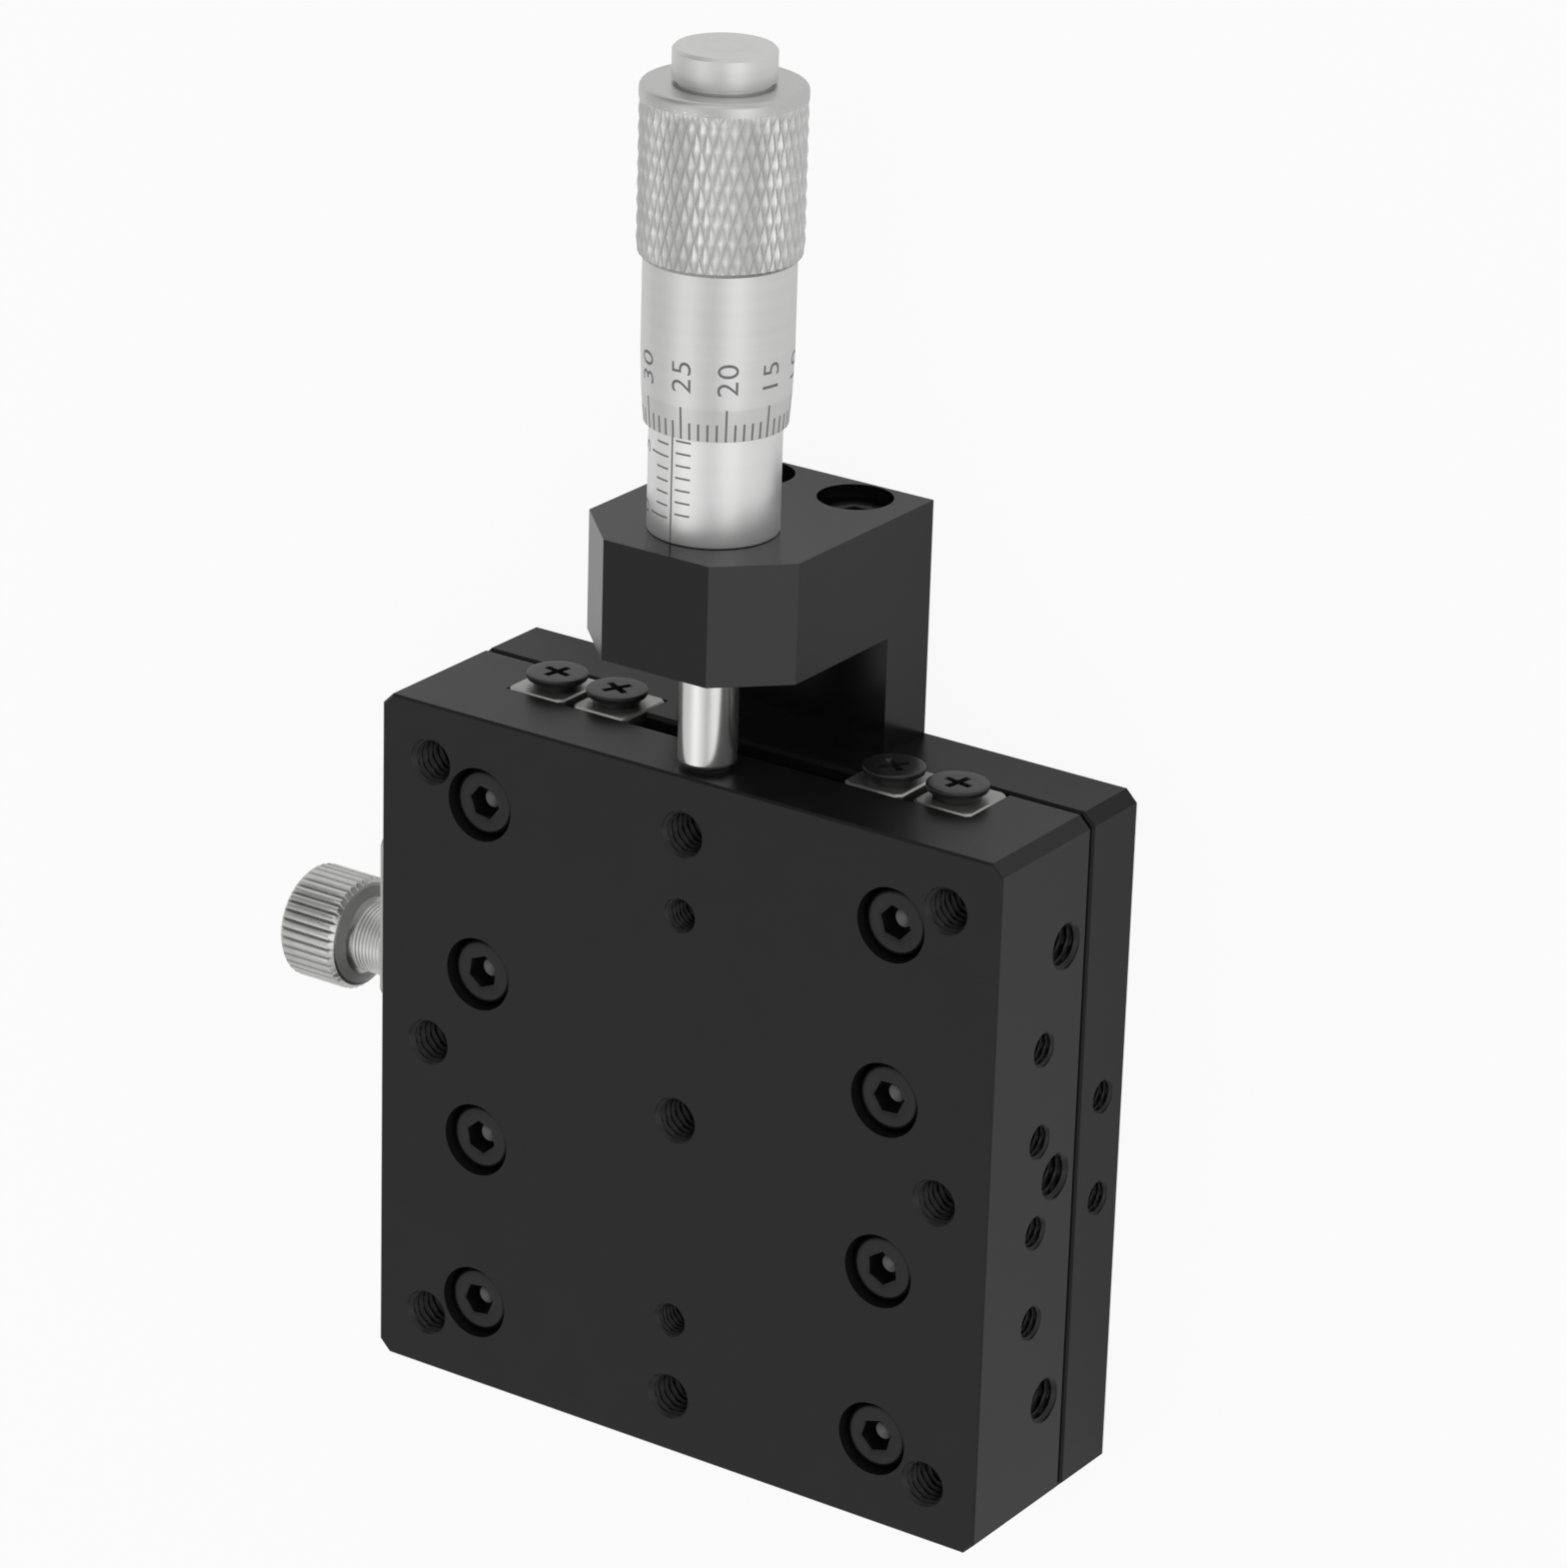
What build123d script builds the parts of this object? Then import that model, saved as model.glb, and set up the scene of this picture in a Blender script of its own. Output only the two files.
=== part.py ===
from build123d import *
from math import atan, cos, pi, sin, sqrt
import os

# Crossed roller linear stage with a micrometer head.
# The origin is the centre of the base's underside. +Z is the normal of the table's face,
# +Y is the travel and the micrometer's axis, and +X runs across the rails. Millimetres.

# Plates
STAGE_WIDTH = 60.0
STAGE_LENGTH = 60.0
STAGE_HEIGHT = 20.0
WALL_THICKNESS = 7.5
CORNER_CHAMFER = 1.0
EDGE_BREAK = 0.2
BASE_THICKNESS = 6.65
SEAM_GAP = 0.4
RIDGE_RISE = 4.05
RIDGE_BREAK = 0.3
WEB_RELIEF = 0.15

# Rails
RAIL_WIDTH = 5.5
RAIL_HEIGHT = 6.0
RAIL_END_SETBACK = 0.6
RAIL_GAP = 1.0
RAIL_SEAT_RISE = 0.55
RAIL_BACK_CHAMFER = 0.6
RAIL_FACE_CHAMFER = 0.3
RELIEF_SLOT_WIDTH = 0.4
RELIEF_SLOT_DEPTH = 0.2
RAIL_BOLT_COUNT = 4
RAIL_BOLT_END_INSET = 6.9
RAIL_BOLT_INSET = 2.5
END_SCREW_INSET = 3.0
END_SCREW_HOLE_DEPTH = 5.0

# Crossed rollers and their cages
ROLLER_DIAMETER = 2.0
ROLLER_END_PLAY = 0.15
ROLLER_CLEARANCE = 0.02
ROLLER_PITCH = 4.0
ROLLER_COUNT = 12
CAGE_THICKNESS = 0.4
CAGE_SIDE_WALL = 0.7
CAGE_END_MARGIN = 1.4
WINDOW_CLEARANCE = 0.1

# Fastener sizes and fits
M4_RADIUS = 2.0
M3_RADIUS = 1.5
M3_CLEARANCE_RADIUS = 1.7
M3_HEAD_RADIUS = 2.75
M3_HEAD_HEIGHT = 3.0
M3_HEAD_CHAMFER = 0.3
M3_SOCKET_WIDTH = 2.5
M3_SOCKET_DEPTH = 1.5
THREAD_PLAY = 0.05
HEAD_SINK = 0.6
RAIL_HEAD_POCKET_RADIUS = 3.15
LEG_HEAD_POCKET_RADIUS = 3.1
LEG_HEAD_SINK = 1.2
OUTER_SCREW_TIP_GAP = 1.2
INNER_SCREW_TIP_GAP = 1.6
BRACKET_SCREW_ENGAGEMENT = 4.2
BRACKET_THREAD_DEPTH = 8.0
END_SCREW_RADIUS = 1.25
END_SCREW_LENGTH = 4.5
END_HEAD_RADIUS = 2.55
END_HEAD_HEIGHT = 1.9
END_HEAD_CHAMFER = 0.25
CROSS_LENGTH = 2.6
CROSS_WIDTH = 0.6
CROSS_DEPTH = 0.9
PIN_PLAY = 0.01

# Tapped holes for the user
CORNER_HOLE_INSET = 5.0
WALL_HOLE_STOP = 0.65
TOP_M3_END_INSET = 12.0
SIDE_M4_END_INSET = 10.0
SIDE_M4_RISE = 2.95
SIDE_M4_DEPTH = 6.0
SIDE_M3_INNER = 4.0
SIDE_M3_OUTER = 12.0
SIDE_M3_RISE = 5.55
SIDE_M3_DEPTH = 6.0
BASE_SIDE_OFFSET = 4.5
BASE_SIDE_HEIGHT = 3.15
BASE_SIDE_DEPTH = 6.0
BASE_BOTTOM_DEPTH = 5.0

# Micrometer bracket
BRACKET_WIDTH = 20.0
BRACKET_HEAD_LENGTH = 10.0
BRACKET_STAND_OFF = 10.0
BRACKET_LEG_THICKNESS = 6.0
BRACKET_FOOT_RISE = 0.4
BRACKET_REACH = 7.75
BRACKET_CHAMFER = 5.0
BRACKET_SCREW_SPACING = 9.5
LEG_POCKET_WALL = 0.25
GRUB_SCREW_LENGTH = 5.0
GRUB_SOCKET_WIDTH = 1.5

# Micrometer head
STEM_RADIUS = 4.75
STEM_SETBACK = 0.8
SLEEVE_RADIUS = 5.25
SLEEVE_LENGTH = 26.5
GUIDE_LENGTH = 10.2
CORE_RADIUS = 3.4
THREAD_START = 16.0
NUT_SEAT_STEP = 0.65
NUT_RECESS = 0.05
NUT_LENGTH = 3.0
NUT_SETBACK = 0.5
SPINDLE_RADIUS = 2.4
SPINDLE_TIP_ROUND = 0.5
SPINDLE_PLAIN_LENGTH = 29.0
SPINDLE_THREAD_RADIUS = 3.0
SPINDLE_THREAD_SETBACK = 0.68
SPINDLE_STUD_RADIUS = 2.5
CAP_STUD_RADIUS = 1.5
RUNNING_CLEARANCE = 0.05
ANVIL_RADIUS = 2.0
ANVIL_PROUD = 0.3
ANVIL_DEPTH = 2.5
ANVIL_CHAMFER = 0.15
TIP_CLEARANCE = 0.02
THIMBLE_CLEARANCE = 0.3
THIMBLE_WALL = 0.45
THIMBLE_EDGE_GAP = 8.9
THIMBLE_LENGTH = 25.1
THIMBLE_RIM_WALL = 0.13
THIMBLE_BEVEL_WALL = 0.33
THIMBLE_BEVEL_LENGTH = 2.6
THIMBLE_TAPER_LENGTH = 3.5
GRIP_WALL = 0.55
GRIP_START = 13.3
GRIP_END_WALL = 2.0
GRIP_CHAMFER = 0.5
CAP_RADIUS = 4.08
CAP_HEIGHT = 2.8
CAP_CHAMFER = 0.25
CAP_ROOF = 0.6
CAP_UNDERCUT_DEPTH = 0.4
CAP_UNDERCUT_HEIGHT = 0.3

# Return spring in the ridge
SPRING_SLOT_WIDTH = 6.5
SPRING_SLOT_FLOOR = 3.2
SPRING_RADIUS = 2.1
SPRING_WIRE_WIDTH = 0.45
SPRING_BEND_RADIUS = 0.7
SPRING_COILS = 12
SPRING_FACETS_PER_COIL = 12
SPRING_LEG_LENGTH = 2.0
SPRING_HOOK_PLAY = 0.1
SPRING_PIN_RADIUS = 1.0
SPRING_PIN_SEAT_DEPTH = 1.6
TABLE_PIN_SEAT_DEPTH = 3.0
SPRING_PIN_OVERHANG = 1.4
BASE_PIN_END_INSET = 9.0
TABLE_PIN_END_INSET = 17.0
SPRING_SLOT_MARGIN = 8.5

# Clamp on the -X side
CLAMP_PLATE_THICKNESS = 2.8
CLAMP_PLATE_TOP_MARGIN = 3.9
CLAMP_PLATE_END_MARGIN = 3.4
CLAMP_PLATE_FOOT_HEIGHT = 1.5
CLAMP_PLATE_CORNER = 1.2
CLAMP_PLATE_RELIEF = 0.25
CLAMP_THREAD_ENGAGEMENT = 5.0
PLATE_HEAD_RADIUS = 2.75
PLATE_HEAD_HEIGHT = 1.5
PLATE_SOCKET_WIDTH = 2.0
PLATE_SOCKET_DEPTH = 1.0
KNOB_RADIUS = 4.9
KNOB_WIDTH = 5.6
KNOB_CHAMFER = 0.4
KNOB_FLUTES = 38
KNOB_FLUTE_DEPTH = 0.3
KNOB_LAND_SHARE = 0.4
NECK_RADIUS = 3.1
NECK_LENGTH = 4.4
NECK_COLLAR_RADIUS = 3.6
NECK_COLLAR_LENGTH = 0.6
NECK_PLATE_CLEARANCE = 0.1

# Places that follow from the sizes above
HALF_WIDTH = STAGE_WIDTH / 2
HALF_LENGTH = STAGE_LENGTH / 2
TABLE_BOTTOM = BASE_THICKNESS + SEAM_GAP
RAIL_BACK = HALF_WIDTH - WALL_THICKNESS
RAIL_LENGTH = STAGE_LENGTH - 2 * RAIL_END_SETBACK
RAIL_BOLT_PITCH = (RAIL_LENGTH - 2 * RAIL_BOLT_END_INSET) / (RAIL_BOLT_COUNT - 1)
RAIL_BOTTOM = BASE_THICKNESS + RAIL_SEAT_RISE
RAIL_MIDDLE = RAIL_BOTTOM + RAIL_HEIGHT / 2
RAIL_TOP = RAIL_BOTTOM + RAIL_HEIGHT
WEB_UNDERSIDE = RAIL_TOP + WEB_RELIEF
OUTER_FACE = RAIL_BACK - RAIL_WIDTH
INNER_FACE = OUTER_FACE - RAIL_GAP
INNER_BACK = INNER_FACE - RAIL_WIDTH
GAP_MIDDLE = (OUTER_FACE + INNER_FACE) / 2
OUTER_BOLT_X = RAIL_BACK - RAIL_BOLT_INSET
INNER_BOLT_X = INNER_BACK + RAIL_BOLT_INSET
RIDGE_TOP = BASE_THICKNESS + RIDGE_RISE
GROOVE_DEPTH = ROLLER_DIAMETER / sqrt(2) - RAIL_GAP / 2
CORNER_HOLE_X = HALF_WIDTH - CORNER_HOLE_INSET
CORNER_HOLE_Y = HALF_LENGTH - CORNER_HOLE_INSET
SPINDLE_Z = (WEB_UNDERSIDE + STAGE_HEIGHT) / 2
BRACKET_BOTTOM = HALF_LENGTH + BRACKET_STAND_OFF
BRACKET_TOP = BRACKET_BOTTOM + BRACKET_HEAD_LENGTH
BRACKET_FRONT = SPINDLE_Z + BRACKET_REACH
LEG_FRONT = BRACKET_FOOT_RISE + BRACKET_LEG_THICKNESS
BRACKET_SCREW_Z = BRACKET_FOOT_RISE + LEG_POCKET_WALL + LEG_HEAD_POCKET_RADIUS
SLEEVE_END = BRACKET_TOP + SLEEVE_LENGTH
ANVIL_FACE = HALF_LENGTH + ANVIL_PROUD
SPINDLE_TIP = ANVIL_FACE + TIP_CLEARANCE
THIMBLE_EDGE = BRACKET_TOP + THIMBLE_EDGE_GAP
THIMBLE_TOP = THIMBLE_EDGE + THIMBLE_LENGTH
GRIP_BOTTOM = THIMBLE_EDGE + GRIP_START
GRIP_TOP = THIMBLE_TOP + GRIP_END_WALL
SPINDLE_THREAD_START = SPINDLE_TIP + SPINDLE_PLAIN_LENGTH
NUT_SEAT_RADIUS = SLEEVE_RADIUS - NUT_SEAT_STEP
THIMBLE_BORE_RADIUS = SLEEVE_RADIUS + THIMBLE_CLEARANCE
THIMBLE_RADIUS = THIMBLE_BORE_RADIUS + THIMBLE_WALL
GRIP_RADIUS = THIMBLE_RADIUS + GRIP_WALL
SPRING_AXIS_Z = SPRING_SLOT_FLOOR + SPRING_SLOT_WIDTH / 2
BASE_PIN_Y = HALF_LENGTH - BASE_PIN_END_INSET
TABLE_PIN_Y = TABLE_PIN_END_INSET - HALF_LENGTH
SIDE_M4_Z = TABLE_BOTTOM + SIDE_M4_RISE
SIDE_M3_Z = TABLE_BOTTOM + SIDE_M3_RISE

BOTTOM = (Align.CENTER, Align.CENTER, Align.MIN)
TOP = (Align.CENTER, Align.CENTER, Align.MAX)
UP = (0, 0, 1)
DOWN = (0, 0, -1)
ALONG = (0, 1, 0)
BACK = (0, -1, 0)
RIGHT = (1, 0, 0)
LEFT = (-1, 0, 0)


def bar(start, direction, radius, length):
    """Round bar that starts at a point and runs along a direction."""
    return Plane(origin=start, z_dir=direction) * Cylinder(radius, length, align=BOTTOM)


def hex_socket(width, depth):
    """Cutter for a hexagon socket whose mouth is at the local origin and that opens along -Z."""
    return extrude(RegularPolygon(width / 2, 6, major_radius=False), depth)


def screw_head(radius, height, edge):
    """Round screw head under the local origin with its outer rim chamfered."""
    head = Cylinder(radius, height, align=TOP)
    return chamfer(head.faces().sort_by(Axis.Z)[0].edges(), edge)


def cap_screw(seat, direction, length):
    """Socket head cap screw. The direction points from the head's seat to the tip."""
    head = screw_head(M3_HEAD_RADIUS, M3_HEAD_HEIGHT, M3_HEAD_CHAMFER)
    shank = Cylinder(M3_RADIUS - THREAD_PLAY, length, align=BOTTOM)
    socket = Pos(0, 0, -M3_HEAD_HEIGHT) * hex_socket(M3_SOCKET_WIDTH, M3_SOCKET_DEPTH)
    return Plane(origin=seat, z_dir=direction) * (head + shank - socket)


def pan_head_screw(seat, direction):
    """Cross-recessed pan head screw. The direction points from the head's seat to the tip."""
    head = screw_head(END_HEAD_RADIUS, END_HEAD_HEIGHT, END_HEAD_CHAMFER)
    shank = Cylinder(END_SCREW_RADIUS - THREAD_PLAY, END_SCREW_LENGTH, align=BOTTOM)
    slot = Box(CROSS_LENGTH, CROSS_WIDTH, CROSS_DEPTH, align=BOTTOM)
    cross = Pos(0, 0, -END_HEAD_HEIGHT) * (slot + Rot(0, 0, 90) * slot)
    return Plane(origin=seat, z_dir=direction) * (head + shank - cross)


def along_y(points, start, end):
    """Prism between two Y positions whose outline is given as X, Z points."""
    outline = Polyline(*[(x, start, z) for x, z in points], close=True)
    return extrude(make_face(outline), amount=end - start, dir=ALONG)


def turned_on_y(points):
    """Part turned about the micrometer's axis from an outline of radius, Y points."""
    outline = Polyline(*[(radius, y, 0) for radius, y in points], close=True)
    return Pos(0, 0, SPINDLE_Z) * revolve(make_face(outline), Axis.Y)


def plate_block(low, high):
    """Square plate between two heights with chamfered corners and broken edges."""
    block = Pos(0, 0, low) * Box(STAGE_WIDTH, STAGE_LENGTH, high - low, align=BOTTOM)
    block = chamfer(block.edges().filter_by(Axis.Z), CORNER_CHAMFER)
    faces = block.faces().sort_by(Axis.Z)
    return chamfer(faces[0].edges() + faces[-1].edges(), EDGE_BREAK)


def row(count, pitch):
    """Positions of a centred row."""
    return [(index - (count - 1) / 2) * pitch for index in range(count)]


def rail_bolt_rows(x):
    """X, Y places of the rail bolts on both sides of the centre plane."""
    return [(side * x, y) for side in (-1, 1) for y in row(RAIL_BOLT_COUNT, RAIL_BOLT_PITCH)]


def base_plate():
    """Fixed slab with the two rail seats, the centre ridge and its spring slot."""
    body = plate_block(0, BASE_THICKNESS)
    root = BASE_THICKNESS / 2
    seats = Box(2 * INNER_FACE, STAGE_LENGTH, RAIL_BOTTOM - root, align=BOTTOM)
    ridge = Box(2 * INNER_BACK, STAGE_LENGTH, RIDGE_TOP - root, align=BOTTOM)
    ridge = chamfer(ridge.faces().sort_by(Axis.Z)[-1].edges(), RIDGE_BREAK)
    body += Pos(0, 0, root) * (seats + ridge)
    slot_start = TABLE_PIN_Y - SPRING_SLOT_MARGIN
    slot_end = BASE_PIN_Y + SPRING_PIN_RADIUS * 2
    slot_middle = (slot_start + slot_end) / 2
    slot = SlotOverall(slot_end - slot_start, SPRING_SLOT_WIDTH, rotation=90)
    body -= Pos(0, slot_middle, SPRING_SLOT_FLOOR) * extrude(slot, RIDGE_TOP)
    pin_mouth = (0, BASE_PIN_Y, SPRING_SLOT_FLOOR)
    body -= bar(pin_mouth, DOWN, SPRING_PIN_RADIUS + PIN_PLAY, SPRING_PIN_SEAT_DEPTH)
    pocket_depth = M3_HEAD_HEIGHT + HEAD_SINK
    for x, y in rail_bolt_rows(INNER_BOLT_X):
        body -= bar((x, y, 0), UP, RAIL_HEAD_POCKET_RADIUS, pocket_depth)
        body -= bar((x, y, 0), UP, M3_CLEARANCE_RADIUS, RAIL_BOTTOM)
    for x in row(2, BRACKET_SCREW_SPACING):
        body -= bar((x, HALF_LENGTH, BRACKET_SCREW_Z), BACK, M3_RADIUS, BRACKET_THREAD_DEPTH)
    for x in (-CORNER_HOLE_X, CORNER_HOLE_X):
        for y in (-CORNER_HOLE_Y, CORNER_HOLE_Y):
            body -= bar((x, y, 0), UP, M4_RADIUS, BASE_BOTTOM_DEPTH)
    for y in (-BASE_SIDE_OFFSET, BASE_SIDE_OFFSET):
        body -= bar((HALF_WIDTH, y, BASE_SIDE_HEIGHT), LEFT, M3_RADIUS, BASE_SIDE_DEPTH)
    return body


def table_plate():
    """Channel-shaped carriage with the mounting holes and the pockets of the rail screws."""
    body = plate_block(TABLE_BOTTOM, STAGE_HEIGHT)
    channel_height = RAIL_TOP - TABLE_BOTTOM
    body -= Pos(0, 0, TABLE_BOTTOM) * Box(2 * RAIL_BACK, STAGE_LENGTH, channel_height, align=BOTTOM)
    body -= Pos(0, 0, RAIL_TOP) * Box(2 * OUTER_FACE, STAGE_LENGTH, WEB_RELIEF, align=BOTTOM)
    web = STAGE_HEIGHT - WEB_UNDERSIDE
    for x in (-CORNER_HOLE_X, 0, CORNER_HOLE_X):
        depth = web - WALL_HOLE_STOP if x else web
        for y in (-CORNER_HOLE_Y, 0, CORNER_HOLE_Y):
            body -= bar((x, y, STAGE_HEIGHT), DOWN, M4_RADIUS, depth)
    for end in (-1, 1):
        mouth = (0, end * (HALF_LENGTH - TOP_M3_END_INSET), STAGE_HEIGHT)
        body -= bar(mouth, DOWN, M3_RADIUS, web)
    pocket_depth = M3_HEAD_HEIGHT + HEAD_SINK
    for x, y in rail_bolt_rows(OUTER_BOLT_X):
        body -= bar((x, y, STAGE_HEIGHT), DOWN, RAIL_HEAD_POCKET_RADIUS, pocket_depth)
        body -= bar((x, y, STAGE_HEIGHT), DOWN, M3_CLEARANCE_RADIUS, STAGE_HEIGHT - RAIL_TOP)
    for side, inward in ((-1, RIGHT), (1, LEFT)):
        for y in row(3, HALF_LENGTH - SIDE_M4_END_INSET):
            body -= bar((side * HALF_WIDTH, y, SIDE_M4_Z), inward, M4_RADIUS, SIDE_M4_DEPTH)
        for y in (-SIDE_M3_OUTER, -SIDE_M3_INNER, SIDE_M3_INNER, SIDE_M3_OUTER):
            body -= bar((side * HALF_WIDTH, y, SIDE_M3_Z), inward, M3_RADIUS, SIDE_M3_DEPTH)
    body -= bar((0, HALF_LENGTH, SPINDLE_Z), BACK, ANVIL_RADIUS + PIN_PLAY, ANVIL_DEPTH)
    pin_mouth = (0, TABLE_PIN_Y, WEB_UNDERSIDE)
    body -= bar(pin_mouth, UP, SPRING_PIN_RADIUS + PIN_PLAY, TABLE_PIN_SEAT_DEPTH)
    return body


def rail(side, back, towards, bolt_x, end_x):
    """Hardened rail. Its V groove faces away from its back, in the direction of towards."""
    middle = RAIL_HEIGHT / 2
    floor = RAIL_WIDTH - GROOVE_DEPTH + RELIEF_SLOT_WIDTH / 2
    slot = RAIL_WIDTH - GROOVE_DEPTH - RELIEF_SLOT_DEPTH
    lower = [
        (RAIL_BACK_CHAMFER, 0),
        (RAIL_WIDTH - RAIL_FACE_CHAMFER, 0),
        (RAIL_WIDTH, RAIL_FACE_CHAMFER),
        (RAIL_WIDTH, middle - GROOVE_DEPTH),
        (floor, middle - RELIEF_SLOT_WIDTH / 2),
        (slot, middle - RELIEF_SLOT_WIDTH / 2),
    ]
    upper = [(depth, RAIL_HEIGHT - height) for depth, height in reversed(lower)]
    back_corners = [(0, RAIL_HEIGHT - RAIL_BACK_CHAMFER), (0, RAIL_BACK_CHAMFER)]
    outline = lower + upper + back_corners
    points = [(side * (back + towards * depth), RAIL_BOTTOM + height) for depth, height in outline]
    body = along_y(points, -RAIL_LENGTH / 2, RAIL_LENGTH / 2)
    for y in row(RAIL_BOLT_COUNT, RAIL_BOLT_PITCH):
        body -= bar((side * bolt_x, y, RAIL_BOTTOM), UP, M3_RADIUS, RAIL_HEIGHT)
    for end, inward in ((-1, ALONG), (1, BACK)):
        mouth = (side * end_x, end * RAIL_LENGTH / 2, RAIL_MIDDLE)
        body -= bar(mouth, inward, END_SCREW_RADIUS, END_SCREW_HOLE_DEPTH)
    return body


def outer_rail(side):
    """Rail under the table, with its back against the channel's wall."""
    return rail(side, RAIL_BACK, -1, OUTER_BOLT_X, RAIL_BACK - END_SCREW_INSET)


def inner_rail(side):
    """Rail on the base, with its back against the ridge."""
    return rail(side, INNER_BACK, 1, INNER_BOLT_X, INNER_BACK + END_SCREW_INSET)


def end_screws(x):
    """Stop screws in both ends of the two rails whose end holes are at X."""
    screws = []
    for side in (-1, 1):
        for end, inward in ((-1, ALONG), (1, BACK)):
            seat = (side * x, end * RAIL_LENGTH / 2, RAIL_MIDDLE)
            screws.append(pan_head_screw(seat, inward))
    return Compound(children=screws)


def outer_rail_screws():
    """Cap screws in the table's face that hold the outer rails."""
    seat = STAGE_HEIGHT - HEAD_SINK - M3_HEAD_HEIGHT
    length = seat - RAIL_BOTTOM - OUTER_SCREW_TIP_GAP
    places = rail_bolt_rows(OUTER_BOLT_X)
    return Compound(children=[cap_screw((x, y, seat), DOWN, length) for x, y in places])


def inner_rail_screws():
    """Cap screws in the base's underside that hold the inner rails."""
    seat = HEAD_SINK + M3_HEAD_HEIGHT
    length = RAIL_TOP - INNER_SCREW_TIP_GAP - seat
    places = rail_bolt_rows(INNER_BOLT_X)
    return Compound(children=[cap_screw((x, y, seat), UP, length) for x, y in places])


def cage(side):
    """Thin strip that keeps the rollers of one side apart, with a window for each."""
    window_width = ROLLER_DIAMETER + 2 * WINDOW_CLEARANCE
    window_height = ROLLER_DIAMETER * sqrt(2) + 2 * WINDOW_CLEARANCE
    height = window_height + 2 * CAGE_SIDE_WALL
    length = (ROLLER_COUNT - 1) * ROLLER_PITCH + window_width + 2 * CAGE_END_MARGIN
    strip = Box(CAGE_THICKNESS, length, height)
    for y in row(ROLLER_COUNT, ROLLER_PITCH):
        strip -= Pos(0, y, 0) * Box(CAGE_THICKNESS, window_width, window_height)
    return Pos(side * GAP_MIDDLE, 0, RAIL_MIDDLE) * strip


def rollers(side):
    """Cylinders whose axes lean to alternate sides in the square track between the grooves."""
    radius = ROLLER_DIAMETER / 2 - ROLLER_CLEARANCE
    length = ROLLER_DIAMETER - ROLLER_END_PLAY
    solids = []
    for index, y in enumerate(row(ROLLER_COUNT, ROLLER_PITCH)):
        lean = 45 if index % 2 else -45
        place = Pos(side * GAP_MIDDLE, y, RAIL_MIDDLE) * Rot(0, lean, 0)
        solids.append(place * Cylinder(radius, length))
    return Compound(children=solids)


def micrometer_bracket():
    """L-shaped block: its leg stands on the base's end and its head holds the barrel."""
    half = BRACKET_WIDTH / 2
    head_outline = [
        (-half, BRACKET_FOOT_RISE),
        (half, BRACKET_FOOT_RISE),
        (half, BRACKET_FRONT - BRACKET_CHAMFER),
        (half - BRACKET_CHAMFER, BRACKET_FRONT),
        (BRACKET_CHAMFER - half, BRACKET_FRONT),
        (-half, BRACKET_FRONT - BRACKET_CHAMFER),
    ]
    body = along_y(head_outline, BRACKET_BOTTOM, BRACKET_TOP)
    leg_outline = [
        (-half, BRACKET_FOOT_RISE),
        (half, BRACKET_FOOT_RISE),
        (half, LEG_FRONT),
        (-half, LEG_FRONT),
    ]
    body += along_y(leg_outline, HALF_LENGTH, BRACKET_BOTTOM)
    bore_start = (0, BRACKET_BOTTOM, SPINDLE_Z)
    body -= bar(bore_start, ALONG, STEM_RADIUS + PIN_PLAY, BRACKET_HEAD_LENGTH)
    pocket_depth = LEG_HEAD_SINK + M3_HEAD_HEIGHT
    for x in row(2, BRACKET_SCREW_SPACING):
        mouth = (x, BRACKET_TOP, BRACKET_SCREW_Z)
        body -= bar(mouth, BACK, LEG_HEAD_POCKET_RADIUS, pocket_depth)
        body -= bar(mouth, BACK, M3_CLEARANCE_RADIUS, BRACKET_TOP - HALF_LENGTH)
    grub_y = (BRACKET_BOTTOM + BRACKET_TOP) / 2
    body -= bar((-half, grub_y, SPINDLE_Z), RIGHT, M3_RADIUS, half)
    return body


def bracket_screws():
    """Cap screws that pass through the bracket's leg into the base."""
    seat = BRACKET_TOP - LEG_HEAD_SINK - M3_HEAD_HEIGHT
    length = seat - HALF_LENGTH + BRACKET_SCREW_ENGAGEMENT
    places = [(x, seat, BRACKET_SCREW_Z) for x in row(2, BRACKET_SCREW_SPACING)]
    return Compound(children=[cap_screw(place, BACK, length) for place in places])


def barrel_set_screw():
    """Grub screw that presses on the barrel's stem from the bracket's -X side."""
    tip = -(STEM_RADIUS + PIN_PLAY)
    start = (tip - GRUB_SCREW_LENGTH, (BRACKET_BOTTOM + BRACKET_TOP) / 2, SPINDLE_Z)
    body = Cylinder(M3_RADIUS - THREAD_PLAY, GRUB_SCREW_LENGTH, align=BOTTOM)
    body -= hex_socket(GRUB_SOCKET_WIDTH, M3_SOCKET_DEPTH)
    return Plane(origin=start, z_dir=RIGHT) * body


def micrometer_barrel():
    """Stem in the bracket and graduated sleeve, bored for the spindle and its thread."""
    guide = SPINDLE_RADIUS + RUNNING_CLEARANCE
    thread = SPINDLE_THREAD_RADIUS + RUNNING_CLEARANCE
    stem_start = BRACKET_BOTTOM + STEM_SETBACK
    guide_end = stem_start + GUIDE_LENGTH
    thread_start = BRACKET_TOP + THREAD_START
    nut_start = SLEEVE_END - NUT_SETBACK - NUT_LENGTH
    return turned_on_y([
        (guide, stem_start),
        (STEM_RADIUS, stem_start),
        (STEM_RADIUS, BRACKET_TOP),
        (SLEEVE_RADIUS, BRACKET_TOP),
        (SLEEVE_RADIUS, nut_start),
        (NUT_SEAT_RADIUS, nut_start),
        (NUT_SEAT_RADIUS, SLEEVE_END),
        (thread, SLEEVE_END),
        (thread, thread_start),
        (CORE_RADIUS, thread_start),
        (CORE_RADIUS, guide_end),
        (guide, guide_end),
    ])


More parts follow.
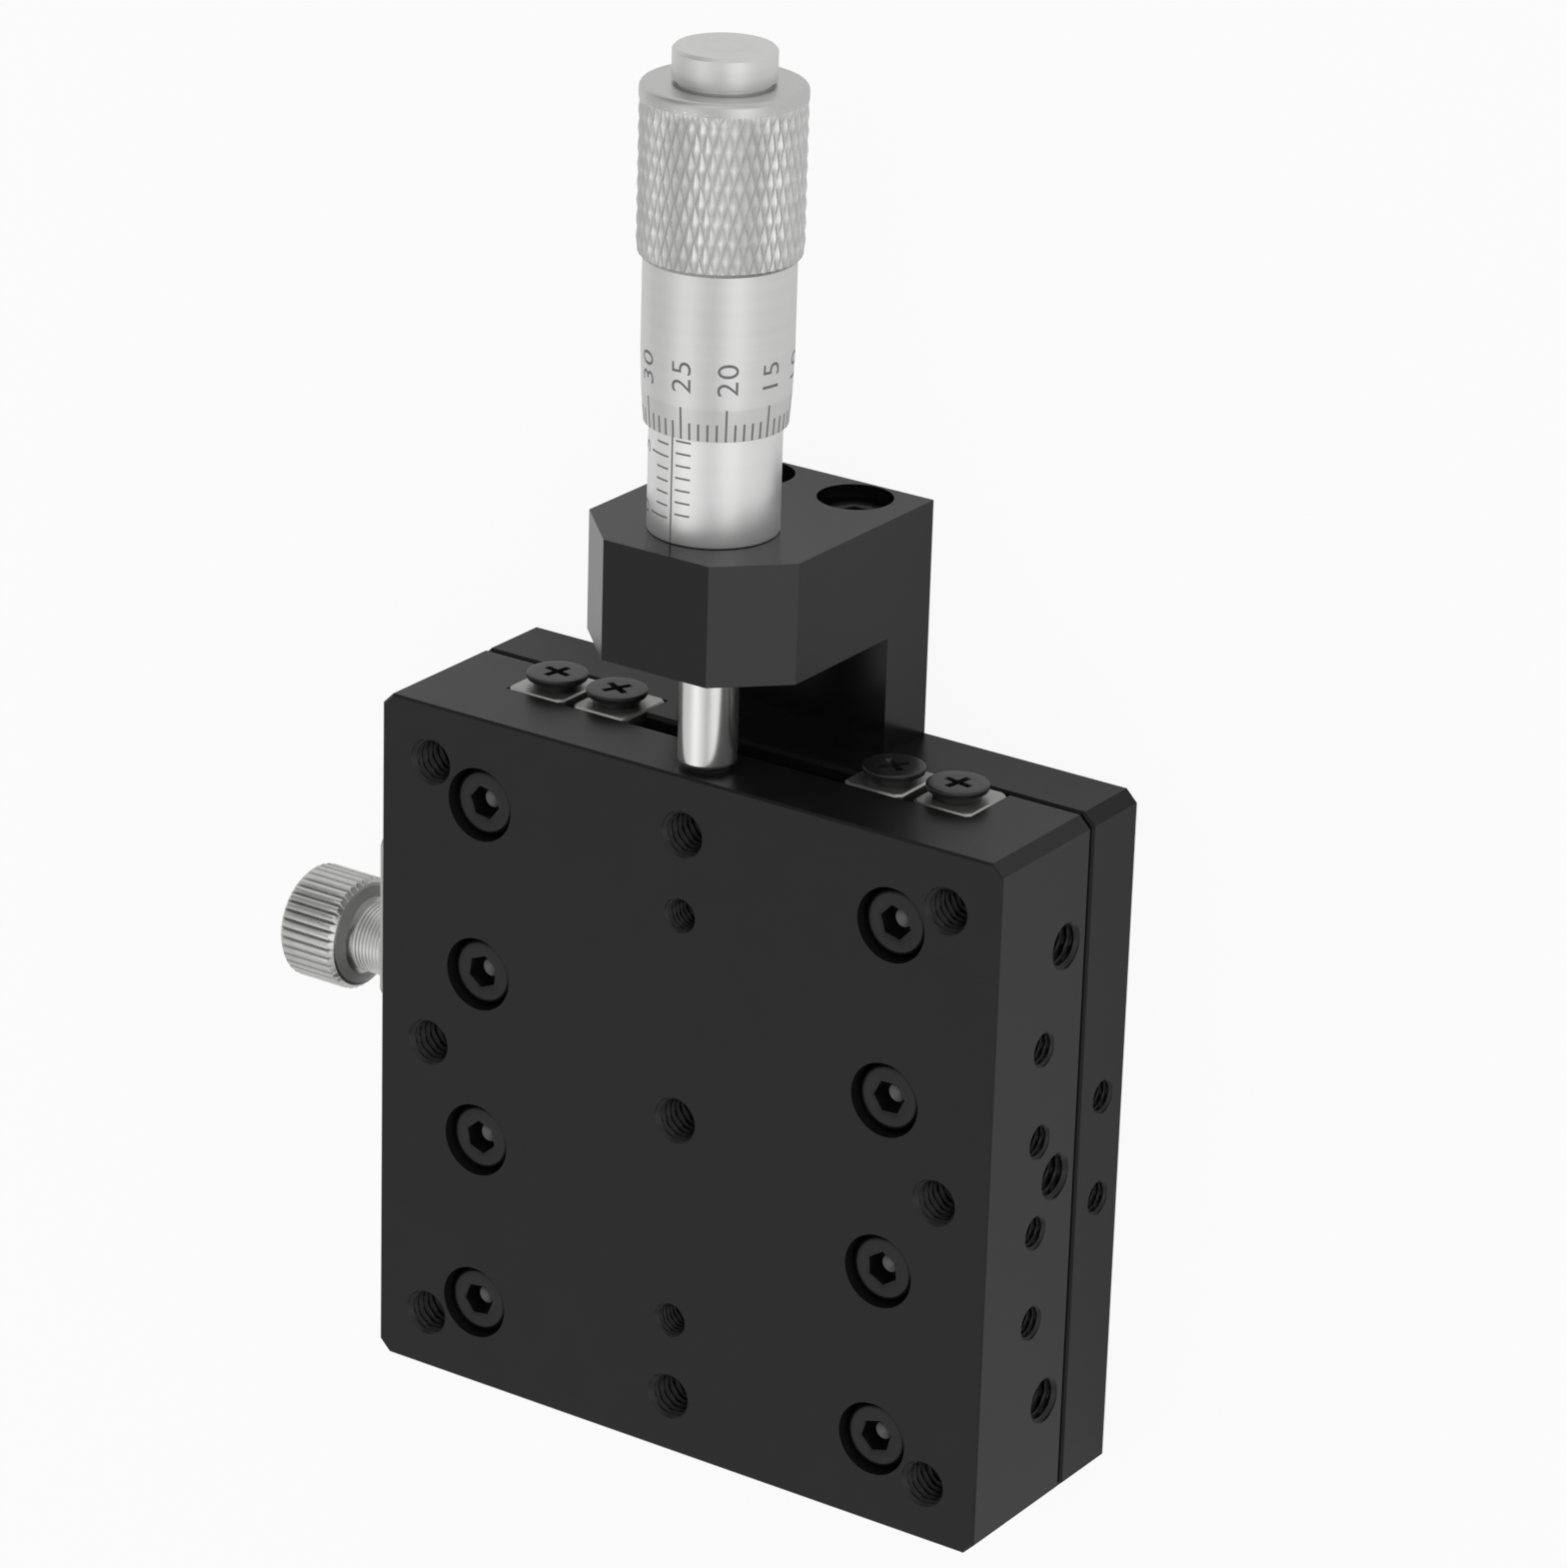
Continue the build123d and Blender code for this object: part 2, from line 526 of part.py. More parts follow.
def thread_adjusting_nut():
    """Ring on the sleeve's end that takes up the play of the spindle thread."""
    start = SLEEVE_END - NUT_SETBACK - NUT_LENGTH
    bore = NUT_SEAT_RADIUS + THREAD_PLAY
    return turned_on_y([
        (bore, start),
        (SLEEVE_RADIUS - NUT_RECESS, start),
        (SLEEVE_RADIUS - NUT_RECESS, start + NUT_LENGTH),
        (bore, start + NUT_LENGTH),
    ])


def spindle():
    """Spindle from its tip on the anvil to the threaded stud under the end cap."""
    thread_end = THIMBLE_TOP - SPINDLE_THREAD_SETBACK
    return turned_on_y([
        (0, SPINDLE_TIP),
        (SPINDLE_RADIUS - SPINDLE_TIP_ROUND, SPINDLE_TIP),
        (SPINDLE_RADIUS, SPINDLE_TIP + SPINDLE_TIP_ROUND),
        (SPINDLE_RADIUS, SPINDLE_THREAD_START),
        (SPINDLE_THREAD_RADIUS, SPINDLE_THREAD_START),
        (SPINDLE_THREAD_RADIUS, thread_end),
        (SPINDLE_STUD_RADIUS, thread_end),
        (SPINDLE_STUD_RADIUS, GRIP_TOP),
        (CAP_STUD_RADIUS, GRIP_TOP),
        (CAP_STUD_RADIUS, GRIP_TOP + CAP_HEIGHT - CAP_ROOF),
        (0, GRIP_TOP + CAP_HEIGHT - CAP_ROOF),
    ])


def thimble_sleeve():
    """Graduated tube over the barrel: a bevel and a slighter taper run to its reading edge."""
    bevel_end = THIMBLE_EDGE + THIMBLE_BEVEL_LENGTH
    return turned_on_y([
        (THIMBLE_BORE_RADIUS, THIMBLE_EDGE),
        (THIMBLE_BORE_RADIUS + THIMBLE_RIM_WALL, THIMBLE_EDGE),
        (THIMBLE_BORE_RADIUS + THIMBLE_BEVEL_WALL, bevel_end),
        (THIMBLE_RADIUS, bevel_end + THIMBLE_TAPER_LENGTH),
        (THIMBLE_RADIUS, THIMBLE_TOP),
        (THIMBLE_BORE_RADIUS, THIMBLE_TOP),
    ])


def thimble_grip():
    """Knurled cap over the thimble's upper half. Its end wall carries the spindle."""
    bore = THIMBLE_RADIUS + PIN_PLAY
    hole = SPINDLE_STUD_RADIUS + PIN_PLAY
    return turned_on_y([
        (bore, GRIP_BOTTOM),
        (GRIP_RADIUS - GRIP_CHAMFER, GRIP_BOTTOM),
        (GRIP_RADIUS, GRIP_BOTTOM + GRIP_CHAMFER),
        (GRIP_RADIUS, GRIP_TOP - GRIP_CHAMFER),
        (GRIP_RADIUS - GRIP_CHAMFER, GRIP_TOP),
        (hole, GRIP_TOP),
        (hole, THIMBLE_TOP),
        (bore, THIMBLE_TOP),
    ])


def thimble_end_cap():
    """Small screwed cap that locks the spindle in the grip."""
    hole = CAP_STUD_RADIUS + THREAD_PLAY
    roof = GRIP_TOP + CAP_HEIGHT
    foot = CAP_RADIUS - CAP_UNDERCUT_DEPTH
    return turned_on_y([
        (hole, GRIP_TOP),
        (foot, GRIP_TOP),
        (foot, GRIP_TOP + CAP_UNDERCUT_HEIGHT),
        (CAP_RADIUS, GRIP_TOP + CAP_UNDERCUT_HEIGHT),
        (CAP_RADIUS, roof - CAP_CHAMFER),
        (CAP_RADIUS - CAP_CHAMFER, roof),
        (0, roof),
        (0, roof - CAP_ROOF + THREAD_PLAY),
        (hole, roof - CAP_ROOF + THREAD_PLAY),
    ])


def spindle_anvil():
    """Hardened button in the table's end face that the spindle presses on."""
    button = Cylinder(ANVIL_RADIUS, ANVIL_DEPTH + ANVIL_PROUD, align=TOP)
    button = chamfer(button.faces().sort_by(Axis.Z)[-1].edges(), ANVIL_CHAMFER)
    return Plane(origin=(0, ANVIL_FACE, SPINDLE_Z), z_dir=ALONG) * button


def spring_pin(root, direction, seat_depth, reach):
    """Pin pressed into a seat. It reaches out of its root point along the direction."""
    return bar(root, tuple(-value for value in direction), SPRING_PIN_RADIUS, seat_depth) + bar(
        root, direction, SPRING_PIN_RADIUS, reach
    )


def base_spring_pin():
    """Pin on the floor of the ridge's slot that holds the spring's fixed end."""
    reach = SPRING_AXIS_Z - SPRING_SLOT_FLOOR + SPRING_PIN_OVERHANG
    return spring_pin((0, BASE_PIN_Y, SPRING_SLOT_FLOOR), UP, SPRING_PIN_SEAT_DEPTH, reach)


def table_spring_pin():
    """Pin under the table's web that the spring pulls towards the micrometer."""
    reach = WEB_UNDERSIDE - SPRING_AXIS_Z + SPRING_PIN_OVERHANG
    return spring_pin((0, TABLE_PIN_Y, WEB_UNDERSIDE), DOWN, TABLE_PIN_SEAT_DEPTH, reach)


def spring_path():
    """Middle line of the spring's wire round the Y axis: hook, coils and hook."""
    wire = SPRING_WIRE_WIDTH / 2
    loop_reach = SPRING_RADIUS - wire - SPRING_PIN_RADIUS - SPRING_HOOK_PLAY
    end_reach = SPRING_BEND_RADIUS + SPRING_LEG_LENGTH + loop_reach
    half_length = (BASE_PIN_Y - TABLE_PIN_Y) / 2 - end_reach
    pitch = 2 * half_length / SPRING_COILS
    helix = Helix(pitch, 2 * half_length, SPRING_RADIUS)
    helix = Plane(origin=(0, -half_length, 0), x_dir=RIGHT, z_dir=ALONG) * helix
    climb = atan(pitch / (2 * pi * SPRING_RADIUS))
    bend_across = SPRING_BEND_RADIUS * cos(climb)
    bend_rise = SPRING_BEND_RADIUS * (1 - sin(climb))
    bend_end = helix @ 0 + Vector(0, -bend_across, bend_rise)
    bend = TangentArc(helix @ 0, bend_end, tangent=-(helix % 0))
    leg = Line(bend @ 1, bend @ 1 - Vector(0, SPRING_LEG_LENGTH, 0))
    loop = TangentArc(leg @ 1, leg @ 1 - Vector(2 * SPRING_RADIUS, 0, 0), tangent=BACK)
    hook = [loop.edge(), leg.edge(), bend.edge()]
    other_hook = [Rot(180, 0, 0) * edge for edge in reversed(hook)]
    return Wire(hook + [helix.edge()] + other_hook)


def return_spring():
    """Extension spring between the pins: one wire, faceted along its path by short flats."""
    path = spring_path()
    flats = round(path.length * SPRING_FACETS_PER_COIL / (2 * pi * SPRING_RADIUS))
    side = Vector(*UP)
    sections = []
    for index in range(flats + 1):
        share = index / flats
        tangent = path % share
        side = (side - tangent * side.dot(tangent)).normalized()
        place = Plane(origin=path @ share, x_dir=side, z_dir=tangent)
        sections.append(place * Rectangle(SPRING_WIRE_WIDTH, SPRING_WIRE_WIDTH))
    wire = loft(sections, ruled=True)
    return Pos(0, (TABLE_PIN_Y + BASE_PIN_Y) / 2, SPRING_AXIS_Z) * wire


def clamp_plate():
    """Steel plate on the table's side. Its relieved lower part presses on the base."""
    low = SIDE_M3_INNER - CLAMP_PLATE_END_MARGIN
    high = SIDE_M3_OUTER + CLAMP_PLATE_END_MARGIN
    top = SIDE_M3_Z + CLAMP_PLATE_TOP_MARGIN
    size = (CLAMP_PLATE_THICKNESS, high - low, top - CLAMP_PLATE_FOOT_HEIGHT)
    align = (Align.MAX, Align.MIN, Align.MIN)
    plate = Pos(-HALF_WIDTH, low, CLAMP_PLATE_FOOT_HEIGHT) * Box(*size, align=align)
    plate = fillet(plate.edges().filter_by(Axis.X), CLAMP_PLATE_CORNER)
    relief_height = TABLE_BOTTOM + SEAM_GAP - CLAMP_PLATE_FOOT_HEIGHT
    relief = Box(CLAMP_PLATE_RELIEF, high - low, relief_height, align=align)
    plate -= Pos(-HALF_WIDTH, low, CLAMP_PLATE_FOOT_HEIGHT) * relief
    for y in (SIDE_M3_INNER, SIDE_M3_OUTER):
        mouth = (-HALF_WIDTH, y, SIDE_M3_Z)
        plate -= bar(mouth, LEFT, M3_CLEARANCE_RADIUS, CLAMP_PLATE_THICKNESS)
    return plate - plate_screw_place() * countersunk_head()


def plate_screw_place():
    """Place on the clamp plate's outer face that the countersunk head is flush with."""
    mouth = (-HALF_WIDTH - CLAMP_PLATE_THICKNESS, SIDE_M3_OUTER, SIDE_M3_Z)
    return Plane(origin=mouth, z_dir=RIGHT)


def countersunk_head():
    """Cone of the plate screw's head, its wide face at the local origin."""
    return Cone(PLATE_HEAD_RADIUS, M3_RADIUS - THREAD_PLAY, PLATE_HEAD_HEIGHT, align=BOTTOM)


def clamp_plate_screw():
    """Countersunk screw that holds the plate on the table, flush with its face."""
    length = CLAMP_PLATE_THICKNESS + CLAMP_THREAD_ENGAGEMENT
    shank = Cylinder(M3_RADIUS - THREAD_PLAY, length, align=BOTTOM)
    socket = hex_socket(PLATE_SOCKET_WIDTH, PLATE_SOCKET_DEPTH)
    return plate_screw_place() * (countersunk_head() + shank - socket)


def knob_outline(radius):
    """Fluted outline of the knob: straight V grooves between narrow lands."""
    points = []
    land_start = (1 - KNOB_LAND_SHARE) / 2
    for index in range(KNOB_FLUTES):
        for share, depth in ((0, KNOB_FLUTE_DEPTH), (land_start, 0), (1 - land_start, 0)):
            angle = 360 * (index + share) / KNOB_FLUTES
            points.append(Vector(radius - depth, 0, 0).rotate(Axis.Z, angle))
    return make_face(Polyline(*points, close=True))


def clamp_screw():
    """Thumb screw: fluted knob, turned neck and threaded end, along the X axis."""
    knob = extrude(knob_outline(KNOB_RADIUS), KNOB_WIDTH)
    blank = Cylinder(KNOB_RADIUS, KNOB_WIDTH, align=BOTTOM)
    rims = blank.faces().sort_by(Axis.Z)
    knob &= chamfer(rims[0].edges() + rims[-1].edges(), KNOB_CHAMFER)
    knob += Pos(0, 0, KNOB_WIDTH) * Cylinder(NECK_COLLAR_RADIUS, NECK_COLLAR_LENGTH, align=BOTTOM)
    knob += Pos(0, 0, KNOB_WIDTH) * Cylinder(NECK_RADIUS, NECK_LENGTH, align=BOTTOM)
    shank = NECK_PLATE_CLEARANCE + CLAMP_PLATE_THICKNESS + CLAMP_THREAD_ENGAGEMENT
    thread = Cylinder(M3_RADIUS - THREAD_PLAY, shank, align=BOTTOM)
    knob += Pos(0, 0, KNOB_WIDTH + NECK_LENGTH) * thread
    reach = CLAMP_PLATE_THICKNESS + NECK_PLATE_CLEARANCE + NECK_LENGTH + KNOB_WIDTH
    start = (-HALF_WIDTH - reach, SIDE_M3_INNER, SIDE_M3_Z)
    return Plane(origin=start, z_dir=RIGHT) * knob


NODES = {
    "base_plate": base_plate,
    "inner_rail_left": lambda: inner_rail(-1),
    "inner_rail_right": lambda: inner_rail(1),
    "inner_rail_screws": inner_rail_screws,
    "inner_rail_end_screws": lambda: end_screws(INNER_BACK + END_SCREW_INSET),
    "micrometer_bracket": micrometer_bracket,
    "bracket_screws": bracket_screws,
    "barrel_set_screw": barrel_set_screw,
    "micrometer_barrel": micrometer_barrel,
    "thread_adjusting_nut": thread_adjusting_nut,
    "base_spring_pin": base_spring_pin,
    "return_spring": return_spring,
    "table_plate": table_plate,
    "outer_rail_left": lambda: outer_rail(-1),
    "outer_rail_right": lambda: outer_rail(1),
    "outer_rail_screws": outer_rail_screws,
    "outer_rail_end_screws": lambda: end_screws(RAIL_BACK - END_SCREW_INSET),
    "spindle_anvil": spindle_anvil,
    "table_spring_pin": table_spring_pin,
    "clamp_plate": clamp_plate,
    "clamp_plate_screw": clamp_plate_screw,
    "cage_left": lambda: cage(-1),
    "cage_right": lambda: cage(1),
    "rollers_left": lambda: rollers(-1),
    "rollers_right": lambda: rollers(1),
    "spindle": spindle,
    "thimble_sleeve": thimble_sleeve,
    "thimble_grip": thimble_grip,
    "thimble_end_cap": thimble_end_cap,
    "clamp_screw": clamp_screw,
}

os.makedirs("parts", exist_ok=True)
for name, make in NODES.items():
    export_step(make(), f"parts/{name}.step")
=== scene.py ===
"""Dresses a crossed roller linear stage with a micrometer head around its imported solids.

Sizes are in millimetres until a mesh is made, where they become metres.
"""
import logging
import math
from collections.abc import Callable
from dataclasses import dataclass, field
from enum import Enum
from functools import partial, reduce

import bmesh
import bpy
import numpy as np
from mathutils import Matrix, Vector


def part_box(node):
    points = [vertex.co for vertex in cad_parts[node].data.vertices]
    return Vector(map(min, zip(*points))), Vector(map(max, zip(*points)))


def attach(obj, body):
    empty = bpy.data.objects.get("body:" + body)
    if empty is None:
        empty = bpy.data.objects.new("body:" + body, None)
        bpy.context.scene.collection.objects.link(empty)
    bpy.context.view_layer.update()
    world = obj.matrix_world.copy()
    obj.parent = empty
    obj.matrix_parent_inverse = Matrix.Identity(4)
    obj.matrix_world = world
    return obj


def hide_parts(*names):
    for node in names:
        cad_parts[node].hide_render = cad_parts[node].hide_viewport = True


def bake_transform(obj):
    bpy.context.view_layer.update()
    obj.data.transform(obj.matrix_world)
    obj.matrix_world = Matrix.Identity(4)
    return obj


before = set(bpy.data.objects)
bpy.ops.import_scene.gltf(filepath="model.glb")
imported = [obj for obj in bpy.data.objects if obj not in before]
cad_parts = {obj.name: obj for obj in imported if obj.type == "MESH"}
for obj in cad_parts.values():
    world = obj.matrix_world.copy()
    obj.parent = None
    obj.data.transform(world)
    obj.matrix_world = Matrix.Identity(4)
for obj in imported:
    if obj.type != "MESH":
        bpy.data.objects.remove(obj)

LOG = logging.getLogger("stage")
MM = 0.001
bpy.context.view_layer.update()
UP = (0.0, 0.0, 1.0)
DOWN = (0.0, 0.0, -1.0)
ALONG = (0.0, 1.0, 0.0)
BACKWARDS = (0.0, -1.0, 0.0)
RIGHT = (1.0, 0.0, 0.0)
LEFT = (-1.0, 0.0, 0.0)
WHITE = (1.0, 1.0, 1.0, 1.0)
MERGE_DISTANCE = 1e-8
BUMP_HEIGHT = 0.02 * MM
INK_PROUD = 0.006
INK_SUNK = 0.03
UPRIGHT = 0.9
GRINDING_SQUEEZE = (1.0, 0.03, 1.0)
RadiusAt = Callable[[np.ndarray], np.ndarray]


class Body(Enum):
    """The groups of pieces that move together."""

    BASE = "base"
    TABLE = "table"
    THIMBLE = "thimble"
    CLAMP = "clamp"


def node_box(node: str) -> tuple[list[float], list[float]]:
    """Lowest and highest corner of a solid.

    Args:
        node: The solid's name.

    Returns:
        Two points in millimetres.
    """
    low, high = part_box(node)
    return (np.array(low) / MM).tolist(), (np.array(high) / MM).tolist()


def unit(vector: np.ndarray) -> np.ndarray:
    """The vector scaled to a length of one."""
    return vector / np.linalg.norm(vector)


def even_turn(count: int) -> np.ndarray:
    """Angles at even steps of a full turn, in radians."""
    return np.arange(count) * math.tau / count


def all_round(radii: np.ndarray, columns: int) -> np.ndarray:
    """One row per radius, which is the same at every column."""
    return np.tile(radii[:, None], (1, columns))


def triangle_wave(phase: np.ndarray) -> np.ndarray:
    """Zero at whole phases and one halfway between them, in straight lines."""
    return 1 - np.abs(2 * (phase % 1.0) - 1)


def grid_faces(rows: int, columns: int, close_rows: bool = True) -> np.ndarray:
    """Quads of a grid whose columns close on themselves.

    Args:
        rows: Number of points along the first parameter.
        columns: Number of points along the second parameter.
        close_rows: Whether the last row joins the first.

    Returns:
        Four point numbers per quad.
    """
    row, column = np.meshgrid(
        np.arange(rows if close_rows else rows - 1), np.arange(columns), indexing="ij"
    )
    after = (row + 1) % rows * columns
    here = row * columns
    beside = (column + 1) % columns
    corners = (here + column, here + beside, after + beside, after + column)
    return np.stack(corners, axis=-1).reshape(-1, 4)


def split_quads(quads: np.ndarray, other_way: np.ndarray) -> np.ndarray:
    """Two triangles per quad, cut along its second diagonal where other_way holds.

    Args:
        quads: Four point numbers per quad.
        other_way: Whether each quad is cut the other way.

    Returns:
        Three point numbers per triangle.
    """
    straight = quads[:, (0, 1, 2, 0, 2, 3)]
    crossed = quads[:, (0, 1, 3, 1, 2, 3)]
    return np.where(other_way[:, None], crossed, straight).reshape(-1, 3)


def in_order(points: np.ndarray, faces: np.ndarray) -> tuple[np.ndarray, np.ndarray]:
    """Sorts points and triangles, which come out of a cut mesh in another order each run.

    Args:
        points: One point per row.
        faces: Three point numbers per triangle.

    Returns:
        The same points and the same triangles.
    """
    order = np.lexsort(points.T)
    faces = np.argsort(order)[faces]
    lowest_first = (faces.argmin(axis=1)[:, None] + np.arange(3)) % 3
    faces = np.take_along_axis(faces, lowest_first, axis=1)
    return points[order], faces[np.lexsort(faces.T)]


@dataclass
class Surface:
    """Points in millimetres and the point numbers of equal-sized faces."""

    points: np.ndarray
    faces: np.ndarray

    def volume(self) -> float:
        """Signed volume: a sixth of the summed triple products of each face's triangles.

        Returns:
            Cubic millimetres, below zero where the faces point inwards.
        """
        first = self.points[self.faces[:, 0]]
        total = 0.0
        for corner in range(1, self.faces.shape[1] - 1):
            second = self.points[self.faces[:, corner]]
            third = self.points[self.faces[:, corner + 1]]
            total += np.einsum("ij,ij->", first, np.cross(second, third))
        return total / 6

    def outwards(self) -> "Surface":
        """The same surface with its faces pointing out of its volume."""
        return Surface(self.points, self.faces[:, ::-1]) if self.volume() < 0 else self


def joined(surfaces: list[Surface]) -> Surface:
    """Several surfaces as one, each turned outwards.

    Args:
        surfaces: Closed surfaces with equal-sized faces.

    Returns:
        One surface that holds them all.
    """
    turned_out = [surface.outwards() for surface in surfaces]
    starts = np.cumsum([0] + [len(surface.points) for surface in turned_out[:-1]])
    points = np.concatenate([surface.points for surface in turned_out])
    faces = np.concatenate([made.faces + start for made, start in zip(turned_out, starts)])
    return Surface(points, faces)


@dataclass(frozen=True)
class Spot:
    """A point and an axis that a round feature is built on, in millimetres."""

    origin: tuple[float, float, float]
    axis: tuple[float, float, float]

    def basis(self) -> np.ndarray:
        """Unit directions that points round the axis are counted in.

        Returns:
            Rows: where angles start (upwards if they can), a quarter turn on, and the axis.
        """
        axis = np.array(self.axis)
        helper = np.array(UP if abs(axis[2]) < UPRIGHT else RIGHT)
        zero = unit(helper - axis * (helper @ axis))
        return np.array((zero, np.cross(axis, zero), axis))

    def turn(self, radius: np.ndarray, angle: np.ndarray, height: np.ndarray) -> np.ndarray:
        """Points at a radius, an angle and a height: radius (cos a, sin a) in the first two rows.

        Args:
            radius: Distance from the axis.
            angle: Angle round the axis in radians.
            height: Distance along the axis.

        Returns:
            One point per row.
        """
        radius, angle, height = np.broadcast_arrays(radius, angle, height)
        local = np.stack((radius * np.cos(angle), radius * np.sin(angle), height), axis=-1)
        return np.array(self.origin) + local.reshape(-1, 3) @ self.basis()

    def skin(
        self, radius: np.ndarray, angle: np.ndarray, height: np.ndarray, close_rows: bool = True
    ) -> Surface:
        """Surface round the axis on a grid of heights and angles.

        Args:
            radius: Distance from the axis, with a row per height and a column per angle.
            angle: Angle of each column in radians.
            height: Distance of each row along the axis.
            close_rows: Whether the last row joins the first.

        Returns:
            A surface of quads.
        """
        points = self.turn(radius, angle[None, :], height[:, None])
        return Surface(points, grid_faces(len(height), len(angle), close_rows))


MICROMETER = Spot((0.0, 0.0, sum(side[2] for side in node_box("micrometer_barrel")) / 2), ALONG)
KNURL_RADIUS = node_box("thimble_grip")[1][0]
KNURL_DEPTH = 0.22
BRACKET_CHAMFER = 5.0
BRACKET_HIGH = node_box("micrometer_bracket")[1]
CHAMFER_PLANE = BRACKET_HIGH[0] + BRACKET_HIGH[2] - BRACKET_CHAMFER - 0.02
CLAMP_LOW, CLAMP_HIGH = node_box("clamp_screw")
CLAMP_MIDDLE = [(low + high) / 2 for low, high in zip(CLAMP_LOW, CLAMP_HIGH)]
CLAMP_AXIS = Spot((CLAMP_LOW[0], *CLAMP_MIDDLE[1:]), RIGHT)
CLAMP_RADIUS = (CLAMP_HIGH[2] - CLAMP_LOW[2]) / 2


@dataclass
class Outline:
    """Radius and height of a turned part, point by point, with some corners rounded."""

    points: list[tuple[float, float]]
    rounds: dict[int, float] = field(default_factory=dict)
    steps: int = 5

    def corner(self, index: int) -> list[tuple[float, float]]:
        """The corner's point, or an arc that touches both of its sides.

        Args:
            index: Number of the corner.

        Returns:
            One point, or the arc's points in order.
        """
        here = np.array(self.points[index])
        radius = self.rounds.get(index, 0.0)
        if not radius:
            return [tuple(here)]
        before = unit(np.array(self.points[index - 1]) - here)
        after = unit(np.array(self.points[(index + 1) % len(self.points)]) - here)
        half = math.acos(float(np.clip(before @ after, -1.0, 1.0))) / 2
        centre = here + unit(before + after) * radius / math.sin(half)
        start = here + before * radius / math.tan(half) - centre
        end = here + after * radius / math.tan(half) - centre
        sweep = math.pi - 2 * half
        share = np.linspace(0.0, 1.0, self.steps + 1)[:, None]
        arc = np.sin((1 - share) * sweep) * start + np.sin(share * sweep) * end
        return [tuple(point) for point in centre + arc / math.sin(sweep)]

    def drawn(self) -> np.ndarray:
        """All points of the outline, radius and height per row."""
        corners = range(len(self.points))
        return np.array([point for index in corners for point in self.corner(index)])


def turned(spot: Spot, outline: Outline, segments: int = 160) -> Surface:
    """Carries an outline round an axis: each point at its radius and height, at every angle.

    Args:
        spot: Axis of the part, with heights counted from its origin.
        outline: The part's section. It closes on itself unless both ends lie on the axis.
        segments: Number of columns round the axis.

    Returns:
        A closed surface.
    """
    section = outline.drawn()
    on_axis = section[0, 0] == 0 and section[-1, 0] == 0
    return spot.skin(section[:, :1], even_turn(segments), section[:, 1], not on_axis)


def linked(name: str, data: bpy.types.ID) -> bpy.types.Object:
    """A new object in the scene that holds the data.

    Args:
        name: The object's name.
        data: The mesh or camera that it holds.

    Returns:
        The object, at the origin.
    """
    made = bpy.data.objects.new(name, data)
    bpy.context.scene.collection.objects.link(made)
    return made


@dataclass
class Piece:
    """A closed surface that is made a mesh, dressed and set on its body."""

    name: str
    surface: Surface
    material: bpy.types.Material
    slot: str
    replaces: tuple[str, ...]
    sharp_degrees: float

    def build(self) -> bpy.types.Object:
        """Makes the object at the origin, with its poles merged and its faces outwards.

        Returns:
            The object; the solids that it replaces are hidden.
        """
        surface = self.surface.outwards()
        mesh = bpy.data.meshes.new(self.name)
        mesh.from_pydata((surface.points * MM).tolist(), [], surface.faces.tolist())
        work = bmesh.new()
        work.from_mesh(mesh)
        bmesh.ops.remove_doubles(work, verts=work.verts, dist=MERGE_DISTANCE)
        work.to_mesh(mesh)
        work.free()
        mesh.materials.append(self.material)
        mesh.shade_smooth()
        mesh.set_sharp_from_angle(angle=math.radians(self.sharp_degrees))
        piece = linked(self.name, mesh)
        if self.replaces:
            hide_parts(*self.replaces)
        return piece

    def ride(self, body: Body) -> None:
        """Builds the piece and lets it move with a body.

        Args:
            body: The group that it moves with.
        """
        piece = self.build()
        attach(piece, body.value)
        LOG.info("%s: %d faces on %s", self.name, len(piece.data.polygons), body.value)


@dataclass
class Nodes:
    """A shader tree that nodes are added to."""

    tree: bpy.types.NodeTree

    def feed(self, node: bpy.types.Node, inputs: dict[str | int, object]) -> None:
        """Joins or sets the inputs of a node.

        Args:
            node: The node.
            inputs: A socket to join or a value to set, by each input's name or number.
        """
        for key, value in inputs.items():
            if isinstance(value, bpy.types.NodeSocket):
                self.tree.links.new(value, node.inputs[key])
            else:
                node.inputs[key].default_value = value

    def add(
        self, kind: str, inputs: dict[str | int, object] | None = None, **options: object
    ) -> bpy.types.Node:
        """Adds a node.

        Args:
            kind: The node's type.
            inputs: A socket to join or a value to set, by each input's name or number.
            options: The node's own settings, which are set before its inputs.

        Returns:
            The node.
        """
        made = self.tree.nodes.new(kind)
        for name, value in options.items():
            setattr(made, name, value)
        self.feed(made, inputs or {})
        return made

    def math(self, operation: str, first: object, second: object = 0.0) -> bpy.types.NodeSocket:
        """Adds a math node over two sockets or numbers, and gives its result."""
        return self.add("ShaderNodeMath", {0: first, 1: second}, operation=operation).outputs[0]


class Group(Enum):
    """Shader groups that more than one finish uses."""

    GRAIN = "fine_grain"
    TURNING = "turning_lines"
    GRINDING = "grinding_lines"
    KNURL = "knurl_groove_shade"
    CHAMFER = "painted_chamfer_highlight"


